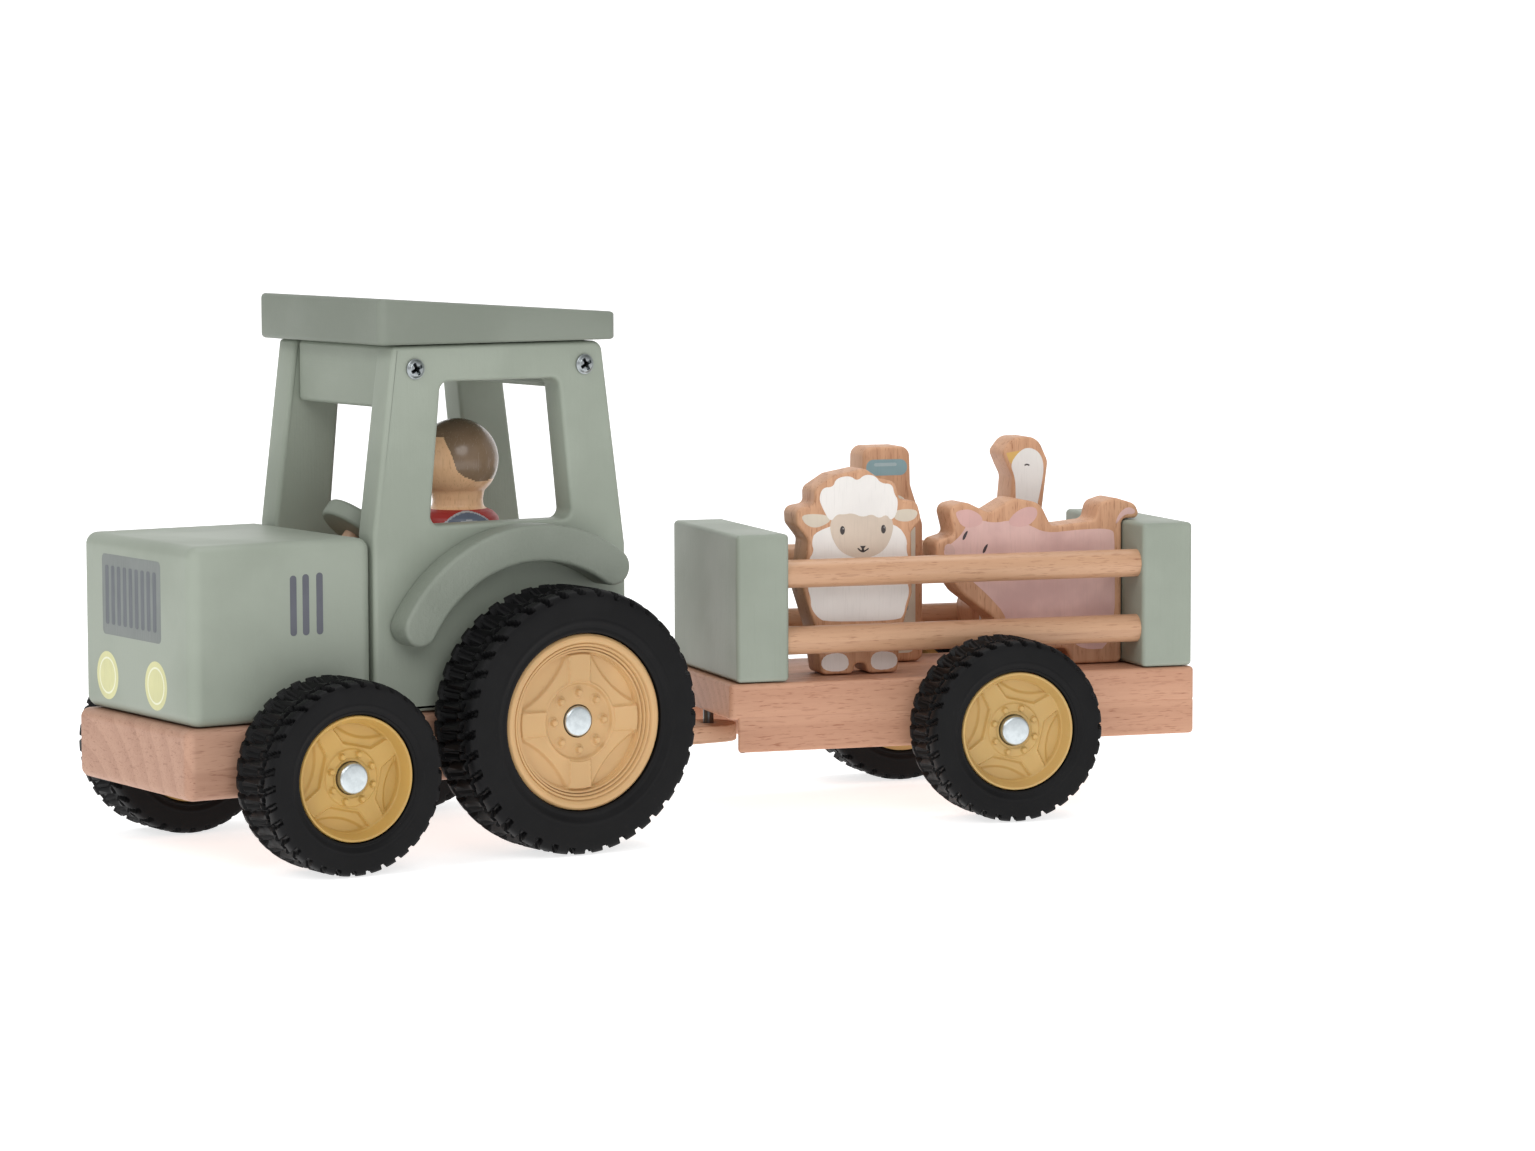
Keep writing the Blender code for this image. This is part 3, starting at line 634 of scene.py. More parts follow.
def film(outline, place, skin=0.05):
    """A printed shape: a plate of ink that starts inside the wood and stands a skin's thickness proud."""
    points, quads, fill = plate_surface([outline], -0.25, skin, 0.02, steps=1)
    return place(points), quads, fill


def printed(name, layers, datum, body):
    """Printed shapes as one piece: each layer is (outline, place, level, material)."""
    looks, parts = [], []
    for outline, place, level, look in layers:
        if look not in looks:
            looks.append(look)
        parts.append((*film(outline, place, level), looks.index(look)))
    points, faces, which = join(parts)
    return new_piece(name, datum.world(points), faces, looks, body, (), which)


class TRACTOR_OT_hood(bpy.types.Operator):
    """Make the hood and chassis blocks, with the printed grille, headlights and vents"""
    bl_idname = "tractor.hood"
    bl_label = "Hood and chassis"

    def execute(self, context):
        block("hood_block", shapes().edge / MM, sage("hood_paint", grain=0.12), "tractor")
        front_grain = beech("chassis_beech", shift=(0.045, 0, -0.002), tint=(0.76, 0.65, 0.65),
                            spacing=0.0075, contrast=0.8)
        block("chassis_block", 2.6, front_grain, "tractor")
        low, high = extent("hood_block")
        self.front_prints(low[1])
        self.side_vents(high[0])
        return {"FINISHED"}

    @staticmethod
    def front_prints(front_y):
        """Grille panel with its bars, and two headlights, on the hood's front face."""
        def on_front(points):
            return np.column_stack([points[:, 0], front_y - points[:, 2], points[:, 1]])

        left, right, low, high = -20.2, 14.9, 59.5, 81.2
        panel = rounded([(left, low, 1.6), (right, low, 1.6), (right, high, 1.6), (left, high, 1.6)])
        layers = [(panel, on_front, 0.03, ink("grille_ink", (0.195, 0.215, 0.205), 0.04))]
        bars, bar_half = 9, 1.05
        for x in np.linspace(left + 3.0, right - 3.6, bars):
            bar = rounded([(x - bar_half, low + 2.8, 0.7), (x + bar_half, low + 2.8, 0.7),
                           (x + bar_half, high - 3.0, 0.7), (x - bar_half, high - 3.0, 0.7)], 0.2)
            layers.append((bar, on_front, 0.06, ink("grille_bar_ink", (0.118, 0.130, 0.145), 0.04)))
        lamp = ink("lamp_ink", (0.66, 0.65, 0.34), 0.04)
        ring = ink("lamp_ring_ink", (0.80, 0.81, 0.62), 0.02)
        for x, z in ((-17.7, 48.4), (11.5, 48.2)):
            for radius, level, look in ((6.5, 0.03, lamp), (5.0, 0.05, ring), (4.5, 0.07, lamp)):
                layers.append((circle((x, z), radius), on_front, level, look))
        printed("front_prints", layers, TRACTOR, "tractor")

    @staticmethod
    def side_vents(side_x):
        """Three upright bars with round ends on each side of the hood."""
        look = ink("vent_ink", tuple(paints().ink), 0.06)
        layers, half = [], 0.98
        for sign in (1, -1):
            def on_side(points, sign=sign):
                return upright(points, sign * side_x, sign)

            for y, low, high in ((29.9, 61.4, 77.4), (33.6, 61.4, 77.6), (37.7, 61.4, 77.8)):
                bar = rounded([(y - half, low, 0.95), (y + half, low, 0.95), (y + half, high, 0.95),
                               (y - half, high, 0.95)], 0.2)
                layers.append((bar, on_side, 0.04, look))
        printed("side_vents", layers, TRACTOR, "tractor")


class TRACTOR_OT_cab(bpy.types.Operator):
    """Make the cab panels, lintels, roof and fenders"""
    bl_idname = "tractor.cab"
    bl_label = "Cab, roof and fenders"

    def execute(self, context):
        radius = shapes().board_edge / MM
        self.panels(radius)
        self.roof()
        self.fenders(radius)
        for name in ("front_lintel", "rear_lintel"):
            block(name, 1.3, sage("lintel_paint", turn=(0, math.pi / 2, 0)), "tractor")
        for name in ("dash_block", "seat_block"):
            block(name, 1.2, beech("inner_beech", tint=(0.95, 0.95, 0.95)), "tractor")
        return {"FINISHED"}

    @staticmethod
    def panels(radius):
        """Each panel leans in above the sill and has a trapezoid window with round corners."""
        low, high = extent("cab_side_left")
        outline = rounded([(low[1], low[2], 0.6), (low[1], 86.7, 3.0), (60.5, high[2], 1.2),
                           (125.3, high[2], 3.2), (132.6, 80.9, 8.0), (high[1], low[2], 1.2)])
        window = rounded([(75.1, 127.0, 2.7), (111.8, 127.0, 2.7), (115.7, 88.5, 2.7), (71.5, 88.5, 2.7)])
        half = (high[0] - low[0]) / 2
        middle = (high[0] + low[0]) / 2
        for side, sign in (("left", 1), ("right", -1)):
            def stand(points, sign=sign):
                return upright(points, sign * middle, sign)

            board(f"cab_panel_{side}", [outline, window], -half, half, radius, stand, TRACTOR,
                  [sage("panel_paint", grain=0.6)], "tractor", [f"cab_side_{side}"])

    @staticmethod
    def roof():
        """A wedge: its top falls in a straight line from front to back."""
        low, high = extent("roof")
        fall_start, fall = low[1], 4.9 / (high[1] - low[1])
        top, bottom = high[2], low[2]
        corner = 2.4
        outline = rounded([(low[0], low[1], corner), (high[0], low[1], corner), (high[0], high[1], corner),
                           (low[0], high[1], corner)])
        points, quads, fill = plate_surface([outline], bottom, top, 1.3)
        share = (points[:, 2] - bottom) / (top - bottom)
        points[:, 2] -= share * fall * (points[:, 1] - fall_start)
        new_piece("roof_board", TRACTOR.world(points), [quads, fill],
                  [sage("roof_paint", turn=(math.pi / 2, 0, 0), grain=0.2, value=0.67)], "tractor",
                  ["roof"])

    @staticmethod
    def fenders(radius):
        """An arc of board over each rear wheel: two concentric arcs and two half-round ends."""
        inner, outer, start, end = 36.3, 46.4, math.radians(54.6), math.radians(150.6)
        centre = np.array([99.5, 41.8])

        def arc(middle, r, a, b, count):
            turn = np.linspace(a, b, count)
            return middle + r * np.column_stack([np.cos(turn), np.sin(turn)])

        mean, end_r = (inner + outer) / 2, (outer - inner) / 2
        tail = centre + mean * np.array([math.cos(start), math.sin(start)])
        tip = centre + mean * np.array([math.cos(end), math.sin(end)])
        outline = np.concatenate([arc(centre, outer, start, end, 90),
                                  arc(tip, end_r, end, end + math.pi, 18)[1:-1],
                                  arc(centre, inner, end, start, 80),
                                  arc(tail, end_r, start + math.pi, start + 2 * math.pi, 18)[1:-1]])
        low, high = extent("fender_left")
        half, middle = (high[0] - low[0]) / 2, (high[0] + low[0]) / 2
        for side, sign in (("left", 1), ("right", -1)):
            def stand(points, sign=sign):
                return upright(points, sign * middle, sign)

            board(f"fender_arc_{side}", [outline], -half, half, radius, stand, TRACTOR,
                  [sage("fender_paint", grain=0.2, grit=0.95, value=0.73)], "tractor", [f"fender_{side}"])


class TRACTOR_OT_driver(bpy.types.Operator):
    """Make the turned peg driver, the steering wheel and its column"""
    bl_idname = "tractor.driver"
    bl_label = "Driver and steering wheel"

    def execute(self, context):
        self.driver()
        self.steering()
        return {"FINISHED"}

    @staticmethod
    def driver():
        """A turned profile: a ball head on a waisted neck, round shoulders, a full body and a peg.

        Material by place: hair over the crown and down the back of the ball, paint below the neck."""
        low, high = extent("driver")
        axis_y = (low[1] + high[1]) / 2
        head_r = 11.35
        head_z = high[2] - head_r
        ball = np.linspace(0.02, 2.42, 60)
        head = np.column_stack([head_r * np.sin(ball), head_z + head_r * np.cos(ball)])
        seat = low[2] + 9.1
        body = resample([(7.2, 94.2), (6.95, 92.6), (7.1, 91.0), (7.7, 90.3), (9.6, 89.5), (11.1, 88.0),
                         (11.7, 85.8), (12.0, 80), (12.2, 74), (12.3, 66), (12.0, seat), (7.7, seat),
                         (7.7, low[2] + 0.8), (6.9, low[2]), (0.02, low[2])], 150)
        section = np.concatenate([[[0.0, high[2]]], head, body, [[0.0, low[2]]]])
        steps = 240
        grid = around(section[1:-1, 0], section[1:-1, 1], steps)
        points = np.concatenate([grid.reshape(-1, 3), [[0, 0, high[2]], [0, 0, low[2]]]])
        columns = len(section) - 2
        quads = grid_quads(steps, columns, close_rows=True)
        row = np.arange(steps)
        after = (row + 1) % steps
        top = np.column_stack([np.full(steps, steps * columns), row * columns, after * columns])
        bottom = np.column_stack([np.full(steps, steps * columns + 1), after * columns + columns - 1,
                                  row * columns + columns - 1])
        points[:, 1] += axis_y
        middle = points[quads].mean(1)
        x, y, z = middle[:, 0], middle[:, 1] - axis_y, middle[:, 2] - head_z
        azimuth = np.degrees(np.arctan2(np.abs(x), -y))
        hairline = np.interp(azimuth, [0, 35, 38, 48, 56, 59, 70, 90, 180],
                             [6.9, 6.6, 6.2, 3.7, 0.0, -2.4, -4.2, -5.6, -5.2])
        which = np.where(z > hairline, 1, 0)
        shoulder = middle[:, 2] < 90.2
        which = np.where(shoulder, 2, which)
        reach = np.hypot(11.7 * np.radians(azimuth - 76), middle[:, 2] - 80.4)
        strap = shoulder & (np.abs(reach - 8.2) < 0.95)
        piping = shoulder & (np.abs(np.abs(reach - 8.2) - 1.2) < 0.25)
        which = np.where(strap, 3, np.where(piping, 4, which))
        which = np.concatenate([which, np.full(steps, 1), np.full(steps, 0)])
        looks = [beech("driver_beech", turn=(math.pi / 2, 0, 0), tint=(1.38, 1.32, 1.05), gloss=0.22,
                       contrast=0.5),
                 ink("hair_paint", (0.25, 0.168, 0.107), 0.08, 0.2, 0.1),
                 ink("shirt_paint", (0.42, 0.03, 0.025), 0.08, 0.45, 0.1),
                 ink("strap_paint", (0.13, 0.16, 0.22), 0.08, 0.4, 0.1),
                 ink("piping_paint", (0.42, 0.44, 0.47), 0.05, 0.4, 0.1)]
        new_piece("peg_driver", TRACTOR.world(points), [quads, np.concatenate([top, bottom])], looks,
                  "driver", ["driver"], which, 50)
        driver_face(axis_y, head_z, head_r)

    @staticmethod
    def steering():
        """A disc with rounded rims on its column: a turned section about the tilted joint axis."""
        joint = JOINTS["steering_wheel_turn"]
        centre, axis = TRACTOR.local(joint["pos_m"]), Vector(joint["axis"])
        turn = np.array(Vector((0, 0, 1)).rotation_difference(axis).to_matrix())
        rim = np.linspace(0, math.pi, 15)
        half, radius, edge = 2.5, 10.5, 1.2
        arc = np.column_stack([radius - edge + edge * np.sin(rim), np.cos(rim) * edge])
        arc[:, 1] += np.sign(arc[:, 1]) * (half - edge)
        section = np.concatenate([[(0.02, 2.0), (2.4, 2.0), (3.0, 2.5)], arc,
                                  [(3.0, -2.5), (2.6, -2.5), (0.02, -2.5)]])
        grid = around(section[:, 0], section[:, 1], 96).reshape(-1, 3) @ turn.T + centre
        quads = grid_quads(96, len(section), close_rows=True)
        caps = [np.arange(96)[None] * len(section),
                (np.arange(96)[None] * len(section) + len(section) - 1)[:, ::-1]]
        new_piece("steering_disc", TRACTOR.world(grid), [quads, *caps],
                  [sage("steering_paint", turn=(0.7, 0, 0), grain=0.4, value=0.9)], "steering_wheel",
                  ["steering_wheel"])
        assign("steering_column", beech("column_beech", turn=(0.9, 0, 0)))


def driver_face(axis_y, head_z, head_r):
    """Two plain dots for eyes and a small curved mouth, printed on the front of the ball head."""
    dark = ink("face_ink", (0.03, 0.022, 0.02), 0.05, 0.35, 0.05)

    def on_ball(points):
        out = head_r + 0.05 + points[:, 2]
        x, z = points[:, 0], points[:, 1]
        y = -np.sqrt(np.maximum(head_r ** 2 - x ** 2 - z ** 2, 0))
        unit = np.column_stack([x, y, z]) / head_r
        return unit * out[:, None] + np.array([0, axis_y, head_z])

    mouth_turn = np.linspace(math.radians(215), math.radians(325), 14)
    outer = np.column_stack([2.1 * np.cos(mouth_turn), -3.0 + 1.9 * np.sin(mouth_turn)])
    inner = np.column_stack([1.95 * np.cos(mouth_turn[::-1]), -2.72 + 1.8 * np.sin(mouth_turn[::-1])])
    layers = [(circle((side * 3.3, -0.4), 0.62, 24), on_ball, 0.06, dark) for side in (-1, 1)]
    layers.append((np.concatenate([outer, inner]), on_ball, 0.05, dark))
    printed("driver_face", layers, TRACTOR, "driver")


def assign(node, look):
    """Gives a CAD node that stays in view its material."""
    slots = frame["nodes"][node].data.materials
    slots.clear()
    slots.append(look)


# ---------------------------------------------------------------- wheels

def place_wheel(grid, centre, sign):
    """Wheel points (two across the disc, then height outwards) to local places, outwards being sideways."""
    flat_points = grid.reshape(-1, 3)
    return centre + np.column_stack([sign * flat_points[:, 2], sign * flat_points[:, 0], flat_points[:, 1]])


def tyre_surface(radius, rim_r, plane, back, lugs, depth):
    """A tyre: a smooth section with its tread cut by grooves.

    The section runs from the inner bead round the tread to the outer bead and back through the bore. Across
    the tread, w goes from -1 to 1; grooves are S-shaped walls of the distance from zigzag lines of w and
    angle."""
    face = plane + 1.1
    middle, half = (face + back) / 2, (face - back) / 2
    wall = radius - rim_r
    turn = np.linspace(-math.pi / 2, math.pi / 2, 61)
    full = np.sign(np.sin(turn)) * np.abs(np.sin(turn)) ** 0.32
    shoulder_h = middle + (half - 0.15) * full
    shoulder_r = rim_r + wall * 0.42 + (wall * 0.58) * np.maximum(np.cos(turn), 0) ** 0.27
    side = np.linspace(0, 1, 13)[:-1]
    side_r = rim_r + 0.15 + (wall * 0.42 - 0.15) * side
    bulge = 0.9 * np.sin(side * math.pi / 2) + 0.22 * np.exp(-((side - 0.62) / 0.10) ** 2) - 1.05
    bulge = bulge + 0.35 * np.exp(-((side - 0.12) / 0.08) ** 2)
    section_r = np.concatenate([side_r, shoulder_r, side_r[::-1]])
    section_h = np.concatenate([back - bulge, shoulder_h, (face + bulge)[::-1]])
    steps = lugs * 12
    angle = np.arange(steps)[:, None] / 12.0
    r = np.broadcast_to(section_r, (steps, len(section_r))).copy()
    h = np.broadcast_to(section_h, (steps, len(section_h))).copy()
    w = np.clip((section_h - middle) / half, -1, 1)[None]
    reach = ((section_r - rim_r) / wall)[None]

    def tri(x):
        return 2 * np.abs((x % 1.0) - 0.5)

    lug = np.floor(angle + 0.5 * (w > 0))
    long_lug = (np.sin(lug * 12.9898) * 43758.5453) % 1.0
    seam = 0.50 + 0.10 * tri(angle * 1.0 + 0.25 * np.sign(w))
    ring_groove = smooth(np.abs(np.abs(w) - seam), 0.035, 0.085)
    centre_groove = smooth(np.abs(w - 0.16 * (tri(angle * 0.5) - 0.5)), 0.03, 0.08)
    skew = angle + 0.5 * (w > 0) + 0.9 * np.abs(w)
    outer_cut = smooth(np.abs((skew % 1.0) - 0.5), 0.085 + 0.05 * long_lug, 0.17 + 0.05 * long_lug)
    inner_skew = angle * 1.0 + 0.31 + 1.5 * w
    inner_cut = smooth(np.abs((inner_skew % 1.0) - 0.5), 0.07, 0.15)
    notch = smooth(np.abs(((angle * 2.0 + 0.6 * w) % 1.0) - 0.5) + 3.0 * (np.abs(np.abs(w) - 0.30) > 0.09),
                   0.07, 0.15)
    block_outer = outer_cut
    block_inner = np.minimum(np.minimum(inner_cut, centre_groove), 0.45 + 0.55 * notch)
    lifted = np.where(np.abs(w) > seam, block_outer, block_inner) * ring_groove
    foot = 0.78 + 0.08 * long_lug
    on_tread = smooth(reach, foot, foot + 0.06)
    drop = depth * (1 - lifted) * on_tread
    out_r, out_h = r - rim_r * 0.62, h - middle
    length = np.hypot(out_r, out_h)
    r = r - drop * out_r / length
    h = h - drop * out_h / length
    r = np.minimum(r, radius)
    return np.stack([r * np.cos(angle * 2 * math.pi / lugs), r * np.sin(angle * 2 * math.pi / lugs), h], 2)


def quarter(r, turn, first):
    """Places along and across the nearest of four directions, a quarter turn apart from the first one."""
    local = (turn - first + math.pi / 4) % (math.pi / 2) - math.pi / 4
    return r * np.cos(local), r * np.sin(local)


def rim_face(small, r, turn):
    """Height of a rim's face below its lip plane, in millimetres, for radius share r and angle."""
    bolts = 8
    share = 2 * math.pi / bolts
    local = (turn + (0.32 if small else 0.0) + share / 2) % share - share / 2
    if small:
        height = 0 * turn + np.interp(r, [0, 0.865, 0.88, 0.945, 0.957, 0.985, 1.0],
                                      [-3.5, -3.5, -3.2, -0.35, 0.0, -0.05, -0.5])
        p, q = quarter(r, turn, math.radians(76.5))
        inside = 1 - smooth(r, 0.845, 0.865)
        edge = np.minimum(p - 0.50, 0.25 + 1.2 * (p - 0.5) - np.abs(q))
        inner_edge = np.minimum(p - 0.64 - 0.55 * q * q, edge - 0.05)
        height -= (0.7 * smooth(edge, -0.02, 0.04) + 0.6 * smooth(inner_edge, -0.02, 0.04)) * inside
        height += 0.3 * np.exp(-(edge / 0.025) ** 2) * inside * smooth(r, 0.46, 0.5)
        height += 0.45 * (1 - smooth(r, 0.44, 0.475)) - 0.3 * (1 - smooth(r, 0.30, 0.33))
        bolt = np.hypot(r * np.cos(local) - 0.385, r * np.sin(local))
        height += 1.2 * (1 - smooth(bolt, 0.036, 0.062))
    else:
        height = 0 * turn + np.interp(r,
                                      [0, 0.775, 0.782, 0.79, 0.812, 0.818, 0.824, 0.846, 0.852, 0.858,
                                       0.884, 0.891, 0.905, 0.94, 0.972, 1.0],
                                      [-2.9, -2.9, -3.1, -2.0, -2.0, -2.6, -1.35, -1.35, -1.95, -0.7, -0.7,
                                       -1.15, -0.3, 0.0, -0.1, -0.8])
        p, q = quarter(r, turn, math.pi / 4)
        inside = 1 - smooth(r, 0.76, 0.775)
        height -= 0.95 * smooth(p - 0.575 - 0.42 * q * q, -0.02, 0.025) * inside
        side = np.abs(quarter(r, turn, 0)[1]) - 0.03 * r
        height += 0.65 * (1 - smooth(side, 0.110, 0.138)) * smooth(r, 0.45, 0.465) * inside
        height += 0.15 * np.exp(-((side - 0.118) / 0.014) ** 2) * smooth(r, 0.45, 0.465) * inside
        height -= 0.7 * (1 - smooth(r, 0.41, 0.44))
        height += 0.3 * np.exp(-((r - 0.448) / 0.014) ** 2)
        bolt = np.hypot(r * np.cos(local) - 0.325, r * np.sin(local))
        height += 0.3 * (1 - smooth(bolt, 0.056, 0.068)) + 1.2 * (1 - smooth(bolt, 0.030, 0.046))
    return height


def rim_surface(small, rim_r, plane, back, hub_r, hub_face):
    """A rim: its dished face with pockets, spokes and bolts, over the lip, and the hollow back with ribs.

    Rows are angles; each column follows the section from the bore over the face and round to the bore
    again."""
    steps = 288
    turn = (np.arange(steps) * 2 * math.pi / steps)[:, None]
    share = np.concatenate([np.linspace(4.5 / (rim_r - 0.15), 0.96, 120), np.linspace(0.965, 1.0, 8)])[None]
    face_r = share * (rim_r - 0.15)
    face_h = plane + rim_face(small, share, turn)
    boss_r = np.array([[hub_r, 4.45]])
    boss_h = np.array([[hub_face, hub_face]]) + np.zeros((steps, 1))
    web = plane - (5.4 if small else 5.6)
    barrel_r = np.array([[rim_r - 0.15, rim_r - 0.15, rim_r - 1.7, rim_r - 1.9]])
    barrel_h = np.array([[plane - 1.2, back, back, web]]) + np.zeros((steps, 1))
    back_r = np.linspace(rim_r - 2.4, 5.8, 30)[None]
    rib = 1 - smooth(np.abs(np.sin(turn * 4)) * back_r, 0.55, 1.0)
    back_h = web + np.zeros((steps, 1)) - 7.0 * rib * smooth(back_r, 5.0, 5.6)
    bore_r = np.array([[5.0, 4.9, hub_r + 0.4, hub_r]])
    bore_h = np.array([[web - 0.3, back, back, back + 0.4]]) + np.zeros((steps, 1))
    r = np.concatenate([np.broadcast_to(part, (steps, part.shape[1])) for part in
                        (boss_r, face_r, barrel_r, back_r, bore_r)], 1)
    h = np.concatenate([boss_h, face_h, barrel_h, back_h, bore_h], 1)
    return np.stack([r * np.cos(turn), r * np.sin(turn), h], 2)


def cap_surface(top, bottom, radius, bore):
    """A pressed cap: a barely domed top, a round edge, a skirt and the bore it grips the axle with."""
    edge = np.linspace(0, math.pi / 2, 8)
    dome_r = np.linspace(0.02, radius - 0.9, 10)
    dome = np.column_stack([dome_r, top - 0.25 * (dome_r / radius) ** 2])
    turn = np.column_stack([radius - 0.9 + 0.9 * np.sin(edge), top - 1.1 + 0.9 * np.cos(edge)])
    rest = [(radius, bottom + 0.3), (radius - 0.3, bottom), (bore + 0.2, bottom), (bore, bottom + 0.2),
            (bore, top - 1.3), (0.02, top - 1.3)]
    return np.concatenate([dome, turn, rest])


def lathe(name, section, steps, place, datum, look, body, replaced, sharp=35.0):
    """A turned piece whose section starts and ends near the axis, closed there with two small discs."""
    grid = around(section[:, 0], section[:, 1], steps)
    columns = len(section)
    caps = [np.arange(steps)[None] * columns, (np.arange(steps)[None] * columns + columns - 1)[:, ::-1]]
    return new_piece(name, datum.world(place(grid)), [grid_quads(steps, columns, close_rows=True), *caps],
                     [look], body, replaced, None, sharp)


def wheel(kind, side, datum, body):
    """Tyre, rim and cap of one wheel, on the axle that the CAD nodes give."""
    small = kind != "rear"
    sign = 1 if side == "left" else -1
    tyre_low, tyre_high = extent(f"{kind}_tyre_{side}", datum)
    rim_low, rim_high = extent(f"{kind}_rim_{side}", datum)
    cap_low, cap_high = extent(f"{kind}_cap_{side}", datum)
    radius = (tyre_high[2] - tyre_low[2]) / 2
    rim_r = (rim_high[2] - rim_low[2]) / 2 + 0.15
    centre = np.array([0.0, (tyre_low[1] + tyre_high[1]) / 2, (tyre_low[2] + tyre_high[2]) / 2])
    outer = (lambda low, high: max(abs(low[0]), abs(high[0])))
    inner = (lambda low, high: min(abs(low[0]), abs(high[0])))
    plane, back = outer(rim_low, rim_high), inner(tyre_low, tyre_high)
    cap_top, cap_bottom = outer(cap_low, cap_high), inner(cap_low, cap_high)

    def stand(grid):
        return place_wheel(grid, centre, sign)

    lugs = shapes().small_lugs if small else shapes().rear_lugs
    tyre = tyre_surface(radius, rim_r, plane, back, lugs, shapes().groove / MM * (1.0 if small else 1.25))
    rows, columns = tyre.shape[:2]
    rides = f"{kind}_wheel_{side}"
    new_piece(f"{kind}_tyre_rubber_{side}", datum.world(stand(tyre)),
              [grid_quads(rows, columns, True, True)], [rubber()], rides, [f"{kind}_tyre_{side}"],
              None, 28)
    rim = rim_surface(small, rim_r, plane, inner(rim_low, rim_high), AXLE_HOLE, cap_bottom - 0.3)
    rows, columns = rim.shape[:2]
    # The front rims' colour is the small-rim plastic made a little darker, as painted shade against the key
    # light
    colour = getattr(paints(), f"{kind}_rim")
    look = plastic(f"{kind}_rim_moulding", colour)
    new_piece(f"{kind}_rim_plastic_{side}", datum.world(stand(rim)),
              [grid_quads(rows, columns, True, True)], [look], rides, [f"{kind}_rim_{side}"], None,
              50)
    lathe(f"{kind}_cap_zinc_{side}", cap_surface(cap_top, cap_bottom, CAP_RADIUS, AXLE_HOLE), 72, stand,
          datum, zinc(), body, [f"{kind}_cap_{side}"])


class TRACTOR_OT_wheels(bpy.types.Operator):
    """Make the six tyres, rims and caps, and finish the axles"""
    bl_idname = "tractor.wheels"
    bl_label = "Wheels"

    def execute(self, context):
        for kind, datum, body in (("front", TRACTOR, "tractor"), ("rear", TRACTOR, "tractor"),
                                  ("trailer", TRAILER, "trailer")):
            for side in ("left", "right"):
                wheel(kind, side, datum, body)
            assign(f"{kind}_axle", zinc())
        return {"FINISHED"}


# ---------------------------------------------------------------- fasteners and hitch

def screw_surface(head_r, head, shank_r, reach):
    """A pan head with a cross recess and a threaded shank, height 0 at the head's top, downwards.

    The recess is two crossed slots, each a smooth wall of the distance from its line."""
    steps = 96
    turn = (np.arange(steps) * 2 * math.pi / steps)[:, None]
    share = np.concatenate([np.linspace(0.02, 0.70, 34), np.linspace(0.74, 1.0, 8)])[None]
    r = share * head_r
    x, y = r * np.cos(turn), r * np.sin(turn)
    slot = (1 - smooth(np.minimum(np.abs(x), np.abs(y)), 0.34, 0.46)) * (1 - smooth(r, 1.55, 1.8))
    top = -head * 0.75 * smooth(share, 0.45, 1.0) ** 2 - 1.3 * slot
    below = np.array([(head_r, -head), (shank_r, -head)])
    thread = np.linspace(-head - 0.3, -reach, 120)
    thread_r = shank_r - 0.22 * (0.5 + 0.5 * np.cos(thread[None] * 2 * math.pi / 0.9 + turn))
    tip = np.array([(shank_r * 0.4, -reach), (0.02, -reach)])
    parts_r = [r, below[None, :, 0], thread_r, tip[None, :, 0]]
    parts_h = [top, below[None, :, 1], thread[None], tip[None, :, 1]]
    full = (lambda parts: np.concatenate([np.broadcast_to(p, (steps, p.shape[1])) for p in parts], 1))
    r, h = full(parts_r), full(parts_h)
    return np.stack([r * np.cos(turn), r * np.sin(turn), h], 2)


def screw(node, direction, datum, body):
    """A detailed screw in place of a CAD node, its head towards the direction."""
    low, high = extent(node, datum)
    middle, size = (low + high) / 2, high - low
    way = np.array(direction, float)
    reach = float(np.abs(size @ way))
    head_r = float(np.max(size * (1 - np.abs(way)))) / 2
    grid = screw_surface(head_r, 1.0, 1.4, reach)
    turn = np.array(Vector((0, 0, 1)).rotation_difference(Vector(way)).to_matrix()) @ np.array(
        Matrix.Rotation(0.5, 3, "Z"))
    points = grid.reshape(-1, 3) @ turn.T + middle + way * reach / 2
    rows, columns = grid.shape[:2]
    caps = [np.arange(rows)[None] * columns, (np.arange(rows)[None] * columns + columns - 1)[:, ::-1]]
    new_piece(f"{node}_thread", datum.world(points), [grid_quads(rows, columns, close_rows=True), *caps],
              [zinc("screw_steel", 0.6)], body, [node])


